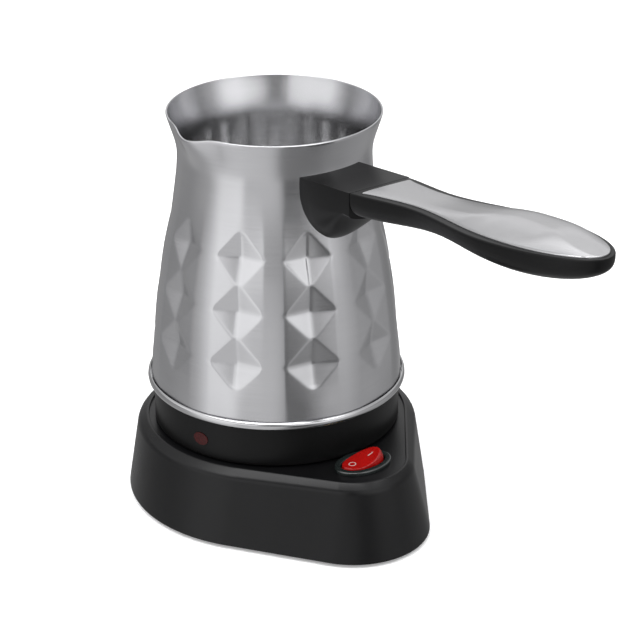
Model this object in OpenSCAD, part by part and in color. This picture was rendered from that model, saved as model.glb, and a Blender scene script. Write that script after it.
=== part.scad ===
// Electric coffee pot: an embossed stainless pot with a pouring lip and a straight
// side handle. It lifts off a drop-shaped base, which holds the rocker switch and the
// round coupling on which the pot can also turn.
// Every piece is drawn about the pot's axis, with z = 0 on the table and +x along the
// handle. seated() then shifts the object so that its origin is the middle of its
// footprint.

/* [Pot wall] */
// Outer radius of the wall at its foot
foot_r = 48.7; // [47.5:0.1:50]
// Outer radius of the wall at the shoulder
shoulder_r = 43; // [42:0.1:45]
// Outer radius of the wall at the neck
neck_r = 36.6; // [35:0.1:38.5]
// Outer radius of the wall at the rim
rim_r = 40.5; // [39:0.1:44]
// Height of the wall from foot to rim
wall_h = 107.8; // [105:0.2:114]
// Height of the neck above the foot
neck_h = 92; // [89:0.5:95]
// Height of the shoulder above the foot
shoulder_h = 54.5; // [50:0.5:60]
// Thickness of the sheet
wall_t = 0.8; // [0.6:0.1:1]
// How far the pouring lip stands out from the rim
lip_out = 2.4; // [1.6:0.1:4]
// How far the pouring lip dips below the rim
lip_dip = 1.8; // [0.5:0.1:3]
// Height of the pot floor above the foot of the wall
floor_up = 7.8; // [7.4:0.1:9]

/* [Embossing] */
// Number of dimple columns round the pot
emboss_cols = 10; // [8:1:12]
// Number of dimple rows
emboss_rows = 3; // [2:1:3]
// Height of one dimple, tip to tip
emboss_h = 20; // [16:0.5:21]
// Height of the lowest dimple's tip above the foot
emboss_z = 13.7; // [12:0.1:16]
// Share of a column's width that its dimples take
emboss_share = 0.68; // [0.5:0.01:0.8]
// Depth of a dimple at its middle
emboss_depth = 2.2; // [1:0.1:3]
// How flat the panels between the smooth strips are, from round to fully flat
panel_flat = 0.7; // [0:0.05:0.8]

/* [Trim ring and collar] */
// How far the polished ring stands out from the wall
ring_out = 1.3; // [1:0.1:2]
// Height of the polished ring
ring_h = 3.2; // [2.6:0.1:4]
// Height of the collar below the ring
collar_h = 15.4; // [15:0.1:18]
// How far the collar is set in from the wall
collar_inset = 1; // [0.6:0.1:1.6]
// Thickness of the collar's moulding
collar_t = 2.2; // [1.8:0.1:2.6]
// Direction of the indicator lamp, in degrees from the handle
lamp_az = -72; // [-80:1:-62]
// Width of the indicator lens
lens_w = 6.6; // [5:0.1:8]
// Height of the indicator lens
lens_h = 5; // [4:0.1:6]

/* [Handle] */
// Half width of the handle at the seam between its two mouldings
seam_w = 13.3; // [12.5:0.1:14]
// Distance from the pot's axis to the seam
seam_x = 64; // [62:0.5:68]
// Depth of the handle's top at the seam, below the rim
handle_down = 10.1; // [8.5:0.1:11.5]
// Rise of the handle towards its end, in degrees
handle_tilt = 6.4; // [4:0.1:8]
// Half width at the waist
waist_w = 10.6; // [9.5:0.1:12]
// Distance from the seam to the waist
waist_x = 29; // [24:0.5:34]
// Half width at the palm
palm_w = 16.2; // [14:0.1:18]
// Distance from the seam to the palm
palm_x = 74; // [68:0.5:82]
// Length of the grip beyond the seam
grip_len = 116.5; // [108:0.5:125]
// Thickness of the grip at the seam
seam_t = 11.5; // [11.2:0.1:13]
// Thickness of the grip at its thinnest
waist_t = 8.6; // [8:0.1:10]
// Thickness of the grip at its thickest
palm_t = 11.5; // [10:0.1:14]
// Width of the black rim beside the insert
rim_w = 1.7; // [1.2:0.1:2.4]
// Rise of the insert's dome above its edge
dome_h = 3.1; // [1.5:0.1:3.5]
// Length of the shield on the pot wall, down from the handle's top
shield_h = 28.2; // [26.5:0.1:30]

/* [Base] */
// Radius of the base's round end at the table
base_r = 58.7; // [57.6:0.1:62]
// Radius of the base's corner at the table
corner_r = 29.8; // [28.5:0.1:33]
// Distance from the pot's axis to the corner's centre
corner_x = 49.8; // [49:0.1:54]
// Height of the base, without its feet
base_h = 30; // [29.5:0.1:33]
// How far the side leans in up to the shoulder, on the round end
base_draft = 4.2; // [3.4:0.1:4.8]
// How far the side leans in up to the shoulder, at the corner
corner_draft = 6.6; // [5:0.1:7.2]
// Width of the bevel above the shoulder
bevel_w = 3.4; // [2.5:0.1:3.6]
// Height of the bevel above the shoulder
bevel_h = 2.8; // [2:0.1:3.4]
// Depth of the deck below the bevel's edge
deck_drop = 0.8; // [0.4:0.1:1.2]
// Thickness of the base's moulding
base_t = 2.4; // [2:0.1:2.8]
// Thickness of the bottom cover
cover_t = 2; // [1.8:0.1:2.6]
// How far the feet stand out below the base
foot_out = 1.5; // [1:0.1:2.5]
// Radius of the raised hub under the pot
hub_r = 30; // [28.5:0.5:32]
// Height of the hub above the deck
hub_h = 3.2; // [2.8:0.1:3.6]
// Bore of the cord gland
cord_bore_r = 3.4; // [3:0.1:3.8]

/* [Switch] */
// Distance from the pot's axis to the switch
switch_x = 56; // [55.5:0.1:57]
// Half length of the switch's bezel
bezel_l = 12; // [11.8:0.1:13]
// Half width of the switch's bezel
bezel_w = 8; // [7.8:0.1:8.5]
// Height of the bezel above the deck
bezel_h = 1.5; // [1:0.1:2]
// Half length of the rocker
rocker_l = 9.2; // [8.5:0.1:9.4]
// Half width of the rocker
rocker_w = 5.2; // [4.8:0.1:5.4]
// Height of the rocker's middle above its axle
rocker_h = 3; // [2.4:0.1:3.6]
// Lean of the rocker at rest, in degrees
rocker_lean = 11; // [8:0.5:12]

/* [Coupling] */
// Radius of the base's coupling tower
tower_r = 16; // [15.7:0.1:16.6]
// Middle radius of the outer contact ring
live_r = 12.5; // [12.3:0.1:12.6]
// Middle radius of the inner contact ring
neutral_r = 7.5; // [7.4:0.1:7.6]
// Radius of the earth pin
earth_r = 2; // [1.6:0.1:2.1]

/* [Hidden] */

steel = [0.75, 0.75, 0.77];
bright = [0.86, 0.86, 0.88];
alloy = [0.7, 0.7, 0.72];
brass = [0.8, 0.65, 0.3];
black = [0.11, 0.11, 0.12];
grey = [0.4, 0.42, 0.42];
white = [0.92, 0.9, 0.86];
red = [0.8, 0.04, 0.03];

// Clearances: between seated pieces, between pieces that pass each other, round
// screws and pins in clearance holes, and round shafts in their bores
gap = 0.3;
slide = 0.4;
fit = 0.1;
running = 0.05;
eps = 0.01;

function smooth(t) = let (c = min(1, max(0, t))) c * c * (3 - 2 * c);
function polar(r, az, z = 0) = [r * cos(az), r * sin(az), z];

// Cubic through (z0, r0) and (z1, r1) with the slopes s0 and s1
function cubic(z, z0, r0, s0, z1, r1, s1) =
    let (t = (z - z0) / (z1 - z0), h = z1 - z0)
    (2 * t * t * t - 3 * t * t + 1) * r0 + (t * t * t - 2 * t * t + t) * h * s0
    + (3 * t * t - 2 * t * t * t) * r1 + (t * t * t - t * t) * h * s1;

// ------------------------------------------------------------ heights

base_z = foot_out;
base_top = base_z + base_h;
shoulder_z = base_top - bevel_h;
deck_z = base_top - deck_drop;
roof_z = deck_z - base_t;
hub_z = deck_z + hub_h;
skirt_drop = 2.5;
collar_floor = hub_z + gap;
collar_deck = collar_floor + collar_t;
collar_z = collar_floor - skirt_drop;
ring_z = collar_z + collar_h;
ring_lip_t = 0.8;
foot_z = ring_z + ring_lip_t + gap;
floor_z = foot_z + floor_up;
handle_h = wall_h - handle_down;

// ------------------------------------------------------------ shared solids

// Oval prism that stands on z = 0, with half axes w along x and l along y
module oval(w, l, h, n = 48) {
    linear_extrude(h) polygon([for (i = [0 : n - 1])
        [w * cos(i * 360 / n), l * sin(i * 360 / n)]]);
}

module tube(r_out, r_in, h, n = 96) {
    difference() {
        cylinder(h = h, r = r_out, $fn = n);
        translate([0, 0, -1]) cylinder(h = h + 2, r = r_in, $fn = n);
    }
}

// Pan-head screw with its head on z = 0 and its tip up; a square drive in the head
module screw(r, length, head_r, head_h) {
    difference() {
        union() {
            cylinder(h = length, r = r, $fn = 24);
            cylinder(h = head_h, r = head_r, $fn = 32);
        }
        translate([-head_r / 3, -head_r / 3, -1]) cube([head_r / 1.5, head_r / 1.5, 1 + head_h / 2]);
    }
}

// Solid through sections of equal length, each listed anticlockwise seen from behind
module loft(sections) {
    m = len(sections[0]);
    n = len(sections);
    polyhedron([for (s = sections) each s], concat([[for (k = [m - 1 : -1 : 0]) k]],
        [for (i = [0 : n - 2], k = [0 : m - 1]) let (a = i * m + k, b = i * m + (k + 1) % m)
            each [[a, b, b + m], [a, b + m, a + m]]],
        [[for (k = [0 : m - 1]) (n - 1) * m + k]]), convexity = 8);
}

// Round lead of radius r along points, its ends square to the route
module lead(points, r) {
    n = len(points);
    sides = 8;
    function unit(v) = v / norm(v);
    function dir(i) = unit(points[min(n - 1, i + 1)] - points[max(0, i - 1)]);
    function side(i) = let (d = dir(i)) unit(cross(abs(d[2]) > 0.9 ? [0, 1, 0] : [0, 0, 1], d));
    loft([for (i = [0 : n - 1]) let (u = side(i), v = cross(dir(i), u))
        [for (k = [0 : sides - 1]) points[i] + r * (u * cos(-45 * k) + v * sin(-45 * k))]]);
}

// Each inner corner of a route is cut twice, which rounds it
function cut_corners(p) = concat([p[0]],
    [for (i = [0 : len(p) - 2], t = [0.25, 0.75])
        if (!(i == 0 && t == 0.25) && !(i == len(p) - 2 && t == 0.75))
            p[i] * (1 - t) + p[i + 1] * t],
    [p[len(p) - 1]]);
function route(p) = cut_corners(cut_corners(p));

// ------------------------------------------------------------ pot wall

foot_slope = -0.03;
shoulder_slope = -0.2;
rim_slope = 0.25;

// Radius of the wall before embossing, at height h above the foot
function wall_r(h) =
    h < shoulder_h
        ? cubic(h, 0, foot_r, foot_slope, shoulder_h, shoulder_r, shoulder_slope)
    : h < neck_h
        ? cubic(h, shoulder_h, shoulder_r, shoulder_slope, neck_h, neck_r, 0)
        : cubic(h, neck_h, neck_r, 0, wall_h, rim_r, rim_slope);

pitch = 360 / emboss_cols;
dimple_half = pitch * emboss_share / 2;
emboss_top = emboss_z + emboss_rows * emboss_h;

// Angle from the nearest column's middle; a smooth strip faces the handle
function off_column(az) = abs((az + 720) % pitch - pitch / 2);
// Height from the middle of the row that h lies in
function off_row(h) = abs((h - emboss_z) % emboss_h - emboss_h / 2);

// A dimple is an inverted pyramid with a diamond outline
function dimple(az, h) = h > emboss_z && h < emboss_top
    ? emboss_depth * max(0, 1 - off_column(az) / dimple_half - off_row(h) / (emboss_h / 2))
    : 0;

// Between two strips the wall is pulled from round towards a flat panel
panel_foot = 0.35;
panel_start = 5;
function flatness(h) = panel_flat
    * (1 - smooth((h - emboss_top + emboss_h / 2) / emboss_h))
    * (panel_foot + (1 - panel_foot) * smooth((h - panel_start) / emboss_z));
function panel(az, h) = let (k = flatness(h), d = off_column(az))
    d < dimple_half ? 1 - k + k * cos(dimple_half) / cos(d) : 1;

// The pouring lip is pulled out of the rim, to one side of the handle
lip_az = 276;
lip_half = 20;
lip_h = 24;
function lip(az, h) = pow(smooth(1 - abs(az - lip_az) / lip_half), 1.3)
    * pow(smooth((h - wall_h + lip_h) / lip_h), 2);

// Point on the wall at direction az and height h, moved in by the depth t
function wall_point(az, h, t) = polar(
    (wall_r(h) - dimple(az, h)) * panel(az, h) + lip_out * lip(az, h) - t, az,
    foot_z + h - lip_dip * lip(az, h));

// Mesh lines at the dimples' edges, quarters and middles and at the strips' middles
dir_steps = [-pitch / 2, -dimple_half, -dimple_half / 2, 0, dimple_half / 2, dimple_half];
dirs = [for (c = [0 : emboss_cols - 1], s = dir_steps) (c + 0.5) * pitch + s];
upper_rows = 8;
levels = concat([0, emboss_z / 2],
    [for (i = [0 : emboss_rows * 4]) emboss_z + i * emboss_h / 4],
    [for (i = [1 : upper_rows]) emboss_top + i * (wall_h - emboss_top) / upper_rows]);

module pot_body() {
    n = len(levels);
    m = len(dirs);
    // Up the outer skin and down the inner one
    heights = concat(levels, [for (i = [n - 1 : -1 : 0]) levels[i]]);
    points = [for (i = [0 : 2 * n - 1], az = dirs) wall_point(az, heights[i], i < n ? 0 : wall_t)];
    function next(i) = (i + 1) % (2 * n);
    function after(j) = (j + 1) % m;
    // In each quarter of a dimple the diagonal follows the diamond's edge
    function rising(i, j) = let (h = (heights[i] + heights[next(i)]) / 2,
        az = dirs[j] + (dirs[after(j)] - dirs[j] + 360) % 360 / 2,
        low = (h - emboss_z + emboss_h) % emboss_h < emboss_h / 2,
        left = (az + 720) % pitch < pitch / 2) low != left;
    faces = [for (i = [0 : 2 * n - 1], j = [0 : m - 1])
        let (a = i * m + j, b = i * m + after(j), c = next(i) * m + after(j), d = next(i) * m + j)
        each (rising(i, j) == (i < n) ? [[a, d, c], [a, c, b]] : [[a, d, b], [b, d, c]])];
    color(steel) polyhedron(points, faces, convexity = 6);
}

floor_r = foot_r - wall_t - 0.95;
flange_drop = 6;

module pot_floor() {
    color(bright) translate([0, 0, floor_z - flange_drop]) difference() {
        cylinder(h = flange_drop + wall_t, r = floor_r, $fn = 96);
        translate([0, 0, -1]) cylinder(h = flange_drop + 1, r = floor_r - wall_t, $fn = 96);
    }
}

// ------------------------------------------------------------ ring, seal and collar

ring_r = foot_r + ring_out;
collar_r = foot_r - collar_inset;
collar_in = collar_r - collar_t;
screw_r = 1.5;
head_r = 2.8;
head_h = 1.8;
small_screw_r = 1.1;
small_head_r = 2.1;
small_head_h = 1.2;
boss_az = [90, 210, 330];
boss_pcd = collar_in - 6;
boss_r = 3.6;
boss_h = 6;
stud_r = 2.5;
stud_bore = 8;
lens_z = ring_z - 8.7;

module trim_ring() {
    wall_side = foot_r + 0.15;
    lip_in = collar_in + 1;
    bead = ring_out * 0.9;
    color(bright) rotate_extrude($fn = 120) polygon(concat(
        [[lip_in, ring_z], [ring_r - bead, ring_z]],
        [for (a = [-75 : 15 : 75]) [ring_r - bead + bead * cos(a),
            ring_z + ring_h / 2 * (1 + sin(a))]],
        [[wall_side, ring_z + ring_h], [wall_side, ring_z + ring_lip_t],
            [lip_in, ring_z + ring_lip_t]]));
}

module collar_seal() {
    z0 = ring_z + ring_lip_t + fit;
    color(white) translate([0, 0, z0])
        tube(floor_r, collar_in + 0.6, floor_z - flange_drop - fit - z0);
}

// The lens opening, from radius r0 outwards by len and grown by g
module lens_shape(r0, len, g) {
    rotate([0, 0, lamp_az]) translate([r0, 0, lens_z]) rotate([0, 90, 0])
        oval(lens_h / 2 + g, lens_w / 2 + g, len, 32);
}

module collar() {
    color(black) difference() {
        union() {
            translate([0, 0, collar_z]) tube(collar_r, collar_in, collar_h, 120);
            translate([0, 0, collar_floor]) cylinder(h = collar_t, r = collar_in + 1, $fn = 120);
            for (a = boss_az) translate(polar(boss_pcd, a, collar_floor))
                cylinder(h = collar_t + boss_h, r = boss_r, $fn = 32);
        }
        translate([0, 0, collar_floor - 1])
            cylinder(h = collar_t + 2, r = barrel_r + fit, $fn = 96);
        for (a = boss_az) translate(polar(boss_pcd, a, collar_floor - 1)) {
            cylinder(h = collar_t + boss_h + 2, r = screw_r + fit, $fn = 24);
            cylinder(h = 1 + head_h + fit, r = head_r + fit, $fn = 32);
        }
        for (a = connector_az) translate(polar(connector_pcd, a, collar_floor - 1))
            cylinder(h = collar_t + 2, r = small_screw_r + running, $fn = 24);
        lens_shape(collar_in - 1, collar_t + 3, fit);
    }
}

module floor_studs() {
    z0 = collar_deck + boss_h;
    color(steel) for (a = boss_az) translate(polar(boss_pcd, a, z0)) difference() {
        cylinder(h = floor_z - z0, r = stud_r, $fn = 32);
        translate([0, 0, -1]) cylinder(h = stud_bore + 1, r = screw_r + running, $fn = 24);
    }
}

module collar_screws() {
    color(steel) for (a = boss_az) translate(polar(boss_pcd, a, collar_floor + fit))
        screw(screw_r, collar_t + boss_h + stud_bore - 1, head_r, head_h);
}

// ------------------------------------------------------------ connector in the pot

barrel_r = tower_r + 6.9;
connector_h = 12.2;
connector_roof_t = 1.8;
connector_top = collar_floor + connector_h;
recess_z = connector_top - connector_roof_t;
flange_r = barrel_r + 2.8;
flange_t = 2;
ear_r = 3;
connector_pcd = flange_r + 2;
connector_az = [30, 150, 270];
blade_t = 0.6;
blade_h = 6.6;
tab_w = 5;
tab_up = 3;
live_tab_az = 70;
neutral_tab_az = 0;
earth_tip_z = hub_z - 0.6;

// Tab of a contact ring, up through the connector's roof, grown by g
module ring_tab(r, az, g) {
    rotate([0, 0, az]) translate([r - blade_t / 2 - g, -tab_w / 2 - g, recess_z - (g > 0 ? 1 : eps)])
        cube([blade_t + 2 * g, tab_w + 2 * g, connector_roof_t + tab_up]);
}

module upper_connector() {
    color(white) difference() {
        union() {
            translate([0, 0, collar_floor]) cylinder(h = connector_h, r = barrel_r, $fn = 96);
            translate([0, 0, collar_deck]) cylinder(h = flange_t, r = flange_r, $fn = 96);
            for (a = connector_az) translate(polar(connector_pcd, a, collar_deck))
                cylinder(h = flange_t, r = ear_r, $fn = 32);
        }
        translate([0, 0, collar_floor - 1])
            cylinder(h = recess_z - collar_floor + 1, r = tower_r + slide, $fn = 96);
        ring_tab(live_r, live_tab_az, fit);
        ring_tab(neutral_r, neutral_tab_az, fit);
        translate([0, 0, recess_z - 1]) cylinder(h = 4, r = earth_r / 2 + running, $fn = 24);
        for (a = connector_az) translate(polar(connector_pcd, a, collar_deck - 1))
            cylinder(h = flange_t + 2, r = small_screw_r + running, $fn = 24);
    }
}

// Contact ring that hangs in the recess
module contact_ring(r, az) {
    color(brass) {
        translate([0, 0, recess_z - blade_h]) tube(r + blade_t / 2, r - blade_t / 2, blade_h);
        ring_tab(r, az, 0);
    }
}

module live_ring() {
    contact_ring(live_r, live_tab_az);
}

module neutral_ring() {
    contact_ring(neutral_r, neutral_tab_az);
}

module earth_pin() {
    nose = 1;
    color(brass) {
        translate([0, 0, earth_tip_z]) cylinder(h = nose, r1 = earth_r / 2, r2 = earth_r, $fn = 32);
        translate([0, 0, earth_tip_z + nose])
            cylinder(h = recess_z - earth_tip_z - nose, r = earth_r, $fn = 32);
        translate([0, 0, recess_z]) cylinder(h = connector_roof_t + 2, r = earth_r / 2, $fn = 24);
    }
}

module connector_screws() {
    color(steel) for (a = connector_az)
        translate(polar(connector_pcd, a, collar_deck + flange_t + small_head_h))
            mirror([0, 0, 1]) screw(small_screw_r, small_head_h + flange_t + collar_t - gap,
                small_head_r, small_head_h);
}

// ------------------------------------------------------------ heater

spreader_t = 1.6;
spreader_r = boss_pcd - stud_r - 2;
spreader_z = floor_z - spreader_t;
sheath_r = 3.3;
cold_r = sheath_r - 0.3;
bend_r = sheath_r + 0.7;
element_r = spreader_r - 5.5;
element_z = spreader_z - 0.2 - sheath_r;
cold_az = 20;
cold_z = collar_deck + 6;
pin_r = 1.2;
pin_h = 3;
thermostat_x = -11.5;
thermostat_r = 8;
thermostat_tab = 5;
fuse_r = 2;
fuse_x = 16;
fuse_y = 4.5;
fuse_len = 12;
fuse_z = connector_top + gap + fuse_r;

module heat_spreader() {
    color(alloy) translate([0, 0, spreader_z]) cylinder(h = spreader_t, r = spreader_r, $fn = 96);
}

// Sheathed element: an open ring with its two cold ends turned down
module heating_element() {
    color(grey) translate([0, 0, element_z]) {
        rotate([0, 0, cold_az - 180]) rotate_extrude(angle = 360 - 2 * cold_az, $fn = 120)
            translate([element_r, 0]) circle(r = sheath_r, $fn = 32);
        for (s = [-1, 1]) rotate([0, 0, 180 + s * cold_az]) translate([element_r, 0, 0]) {
            translate([0, max(0, s), 0]) rotate([90, 0, 0]) cylinder(h = 1, r = cold_r, $fn = 32);
            translate([0, 0, -bend_r]) rotate([0, -90, 90 + s * 90])
                rotate_extrude(angle = 90, $fn = 48)
                    translate([bend_r, 0]) circle(r = cold_r, $fn = 32);
            translate([0, -s * bend_r, cold_z - element_z])
                cylinder(h = element_z - bend_r - cold_z, r = cold_r, $fn = 32);
        }
    }
}

// Place of the element's cold end on side s, -1 or 1, for an element of radius r
function cold_end(s, r, z) = let (a = 180 + s * cold_az)
    polar(r, a, z) - s * bend_r * polar(1, a + 90);

module element_pins() {
    color(bright) for (s = [-1, 1]) translate(cold_end(s, element_r, cold_z - pin_h))
        cylinder(h = pin_h, r = pin_r, $fn = 24);
}

module thermostat() {
    z0 = connector_top + gap;
    color(brass) translate([thermostat_x, 0, z0]) {
        cylinder(h = spreader_z - z0, r = thermostat_r, $fn = 48);
        translate([-2, -thermostat_r - thermostat_tab, 0.6])
            cube([4, 2 * (thermostat_r + thermostat_tab), 0.8]);
    }
}

module thermal_fuse() {
    color(white) translate([fuse_x, fuse_y - fuse_len / 2, fuse_z]) rotate([-90, 0, 0])
        cylinder(h = fuse_len, r = fuse_r, $fn = 32);
}

lead_r = 1.1;
lead_z = connector_top + 1.6;
chase_r = (barrel_r + element_r - sheath_r) / 2;
pin_lead_z = cold_z - pin_h / 2 - 0.4;

// End of a lead that drops beside the connector to the heater pin on side s
function to_pin(s) = let (p = cold_end(s, element_r, pin_lead_z), a = atan2(p[1], p[0]),
    r = norm([p[0], p[1]])) [
        polar(chase_r - 2.5, a, lead_z),
        polar(chase_r, a, lead_z - 0.6),
        polar(chase_r, a, pin_lead_z + 1.5),
        polar(chase_r + 1, a, pin_lead_z),
        polar(r - pin_r - gap, a, pin_lead_z)];

module pot_leads() {
    blade_y = thermostat_r + thermostat_tab + gap;
    blade_z = connector_top + gap + 1;
    color(white) {
        lead(route([polar(live_r + blade_t / 2 + gap, live_tab_az, lead_z),
            polar(live_r + 3, live_tab_az, lead_z), [-4, blade_y + 2.2, lead_z],
            [thermostat_x, blade_y + 3, lead_z], [thermostat_x, blade_y, blade_z]]), lead_r);
        lead(route(concat([[thermostat_x, -blade_y, blade_z],
            [thermostat_x, -blade_y - 3, lead_z], [-19, -13, lead_z]], to_pin(1))), lead_r);
        lead(route([[neutral_r + blade_t / 2 + gap, 0, lead_z], [neutral_r + 3, 0, lead_z],
            [12.5, -5.5, fuse_z], [fuse_x, -5.5, fuse_z],
            [fuse_x, fuse_y - fuse_len / 2 - gap, fuse_z]]), lead_r);
        lead(route(concat([[fuse_x, fuse_y + fuse_len / 2 + gap, fuse_z], [fuse_x, 14, fuse_z],
            [6, 19.6, lead_z], [-8, 20, lead_z], [-17.5, 15, lead_z]], to_pin(-1))), lead_r);
    }
}

// ------------------------------------------------------------ indicator

lens_flange_t = 1;
lens_flange = 1.2;
lens_seat = sqrt(pow(collar_in, 2) - pow(lens_w / 2 + lens_flange, 2)) - gap;
lens_proud = 0.25;
lamp_r = 1.6;
lamp_len = 9;
lamp_front = lens_seat - lens_flange_t - gap;
thin_r = 0.6;
thin_ring_r = (connector_pcd + ear_r + boss_pcd - boss_r) / 2;
thin_z = collar_deck + gap + thin_r;

// Its flange stops just above the collar's floor
module indicator_lens() {
    color(red) intersection() {
        union() {
            lens_shape(lens_seat, collar_t + 2, 0);
            difference() {
                lens_shape(lens_seat - lens_flange_t, lens_flange_t + eps, lens_flange);
                cylinder(h = collar_deck + fit, r = collar_in, $fn = 96);
            }
        }
        cylinder(h = 2 * lens_z, r = collar_r + lens_proud, $fn = 120);
    }
}

module indicator_lamp() {
    color([1, 0.5, 0.3]) rotate([0, 0, lamp_az]) translate([lamp_front - lamp_len, 0, lens_z])
        rotate([0, 90, 0]) cylinder(h = lamp_len, r = lamp_r, $fn = 32);
}

// Two thin leads from the lamp, round the collar floor to the heater's pins
module lamp_leads() {
    from_r = lamp_front - lamp_len - gap;
    color(white) for (s = [-1, 1]) {
        pin = cold_end(-s, element_r, cold_z - pin_h - gap);
        pin_az = atan2(pin[1], pin[0]);
        start = lamp_az + s * 2;
        end = s > 0 ? pin_az : pin_az - (pin_az > 0 ? 360 : 0);
        span = end - start - s * 9;
        steps = 2 + round(abs(span) / 12);
        lead(concat([polar(from_r, start, lens_z), polar(from_r - 1, start + s, lens_z - 0.5)],
            [for (i = [0 : steps]) polar(thin_ring_r, start + s * 5 + span * i / steps, thin_z)],
            [[pin[0], pin[1], thin_z + 0.7], pin]), thin_r);
    }
}

// ------------------------------------------------------------ handle

rise = tan(handle_tilt);
handle_z = foot_z + handle_h;
grip_end = seam_x + grip_len;
thin_x = waist_x + 20;
thick_x = palm_x + 12;
end_drop = 0.5;
tip_t = 0.22;

// Top edge of the handle, in one leaning plane that bends down near its end
function top_z(x) = handle_z + (x - seam_x) * rise
    - end_drop * pow(max(0, (x - seam_x - palm_x) / (grip_len - palm_x)), 3);

// Half width of the handle at x, inset by i; the end beyond the palm is elliptic
function half_w(x, i) = let (u = x - seam_x)
    u < waist_x ? cubic(u, 0, seam_w, -0.04, waist_x, waist_w, 0) - i
    : u < palm_x ? cubic(u, waist_x, waist_w, 0, palm_x, palm_w, 0) - i
    : (palm_w - i) * sqrt(max(0, 1 - pow((u - palm_x) / (grip_len - palm_x - i), 2)));

// Depth of the grip below its top edge
function grip_t(x) = let (u = x - seam_x)
    u < thin_x ? cubic(u, 0, seam_t, 0, thin_x, waist_t, 0)
    : u < thick_x ? cubic(u, thin_x, waist_t, 0, thick_x, palm_t, 0)
    : palm_t * (tip_t + (1 - tip_t) * sqrt(max(0, 1 - pow((u - thick_x) / (grip_len - thick_x), 2))));

edge_round = 1.2;
edge_in = 0.5;
under_n = 10;
pocket_t = 1.4;
insert_start = seam_x + 3;
insert_gap = 0.15;
insert_up = 0.5;
insert_n = 8;
least_w = 0.4;
neck_steps = 9;
end_steps = 9;

// Places of the cross sections: even from first to the palm, then at even angles
// round the elliptic end, inset by i
function places(first, i) = let (palm = seam_x + palm_x, len = grip_len - palm_x - i) concat(
    [for (k = [0 : neck_steps - 1]) first + (palm - first) * k / neck_steps],
    [for (k = [0 : end_steps]) palm + len * sin(90 * k / end_steps)]);

// The grip's section: underside from one rim to the other, then the flat top
function grip_section(x) =
    let (end = max(0, x - grip_end + edge_round) / edge_round, k = sqrt(max(0.01, 1 - end * end)),
        w = max(least_w, half_w(x, 0)), z = top_z(x), flat = max(w - edge_in, w / 2))
    concat([for (i = [0 : under_n]) let (a = 180 * i / under_n)
            [x, w * cos(a), z - k * (edge_round + (grip_t(x) - edge_round) * pow(sin(a), 0.7))]],
        [[x, -flat, z], [x, flat, z]]);

// Section of the pocket that the insert lies in
function pocket_section(x) = let (w = max(least_w, half_w(x, rim_w)), z = top_z(x))
    [[x, w, z - pocket_t], [x, -w, z - pocket_t], [x, -w, z + 1], [x, w, z + 1]];

tenon_w = 7;
tenon_len = 14;
tenon_t = 5;
tenon_z = handle_z - 10.7;
joint_x = seam_x - 9;
joint_web = 2;
tongue_t = 1.5;
tongue_w = 6;
tongue_z = tenon_z + tenon_t + gap;

module handle_grip() {
    color(black) difference() {
        union() {
            loft([for (x = places(seam_x + gap, 0)) grip_section(x)]);
            translate([seam_x - tenon_len, -tenon_w, tenon_z])
                cube([tenon_len + 4, 2 * tenon_w, tenon_t]);
        }
        loft([for (x = places(insert_start, rim_w)) pocket_section(x)]);
        translate([joint_x, 0, tenon_z - 1])
            cylinder(h = tenon_t + 2, r = screw_r + fit, $fn = 24);
    }
}

// Rise of the insert's dome, from nearly flat at the neck to full at the palm
neck_dome = 0.2;
function dome(x) = neck_dome
    + (dome_h - neck_dome) * smooth((x - seam_x - waist_x) / (palm_x - waist_x));

function insert_section(x) =
    let (w = max(least_w, half_w(x, rim_w + insert_gap)), z = top_z(x),
        d = dome(x) * smooth(w / 9))
    concat([[x, w, z - pocket_t + insert_gap], [x, -w, z - pocket_t + insert_gap]],
        [for (i = [0 : insert_n]) let (s = 2 * i / insert_n - 1)
            [x, w * s, z + insert_up + d * (1 - pow(abs(s), 2.2))]]);

module handle_insert() {
    color(alloy) loft([for (x = places(insert_start + insert_gap, rim_w + insert_gap))
        insert_section(x)]);
}

shield_steps = 10;
shield_n = 12;
shield_in = neck_r - 6;
shield_near = neck_r + 3;
shield_far = seam_x - 4;
shield_low = handle_h - shield_h;
shield_bow = 19;
shield_bow_end = 3;

// Section of the shield: a flat top and a bowed underside, which rises from the
// wall to meet the underside of the grip
function shield_section(x) =
    let (t = min(1, max(0, (x - shield_near) / (shield_far - shield_near))),
        low = foot_z + shield_low + (shield_h - seam_t) * pow(t, 1.3),
        bow = shield_bow * (1 - t) + shield_bow_end * t, z = top_z(x))
    concat([for (i = [0 : shield_n]) let (a = 180 * i / shield_n)
            [x, seam_w * cos(a), min(z - 1, low + bow * (1 - sin(a)))]],
        [[x, -seam_w, z], [x, seam_w, z]]);

// Inside of the pot wall's outer skin over the shield's height, grown by g
module wall_core(g) {
    n = 16;
    low = shield_low - 8;
    rotate_extrude($fn = 120) polygon(concat([[0, foot_z + low]],
        [for (i = [0 : n]) let (h = low + (wall_h - low) * i / n) [wall_r(h) + g, foot_z + h]],
        [[0, foot_z + wall_h]]));
}

bracket_t = 1.2;
bracket_az = 10;
bracket_low = shield_low + 6;
bracket_high = tongue_z + tongue_t - foot_z;

// Strip of steel that is spot-welded to the wall, grown by g
module bracket_strip(g) {
    n = 6;
    h0 = bracket_low - g;
    step = (bracket_high + g - h0) / n;
    turn = 2 * g;
    rotate([0, 0, -bracket_az - turn]) rotate_extrude(angle = 2 * (bracket_az + turn), $fn = 120)
        polygon(concat(
            [for (i = [0 : n]) [wall_r(h0 + step * i) + gap + bracket_t + g, foot_z + h0 + step * i]],
            [for (i = [n : -1 : 0]) [wall_r(h0 + step * i) + gap - g, foot_z + h0 + step * i]]));
}

module bracket_tongue(g) {
    x0 = neck_r + gap + bracket_t / 2;
    translate([x0, -tongue_w - g, tongue_z - g])
        cube([joint_x + 4 + g - x0, 2 * (tongue_w + g), tongue_t + 2 * g]);
}

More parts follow.
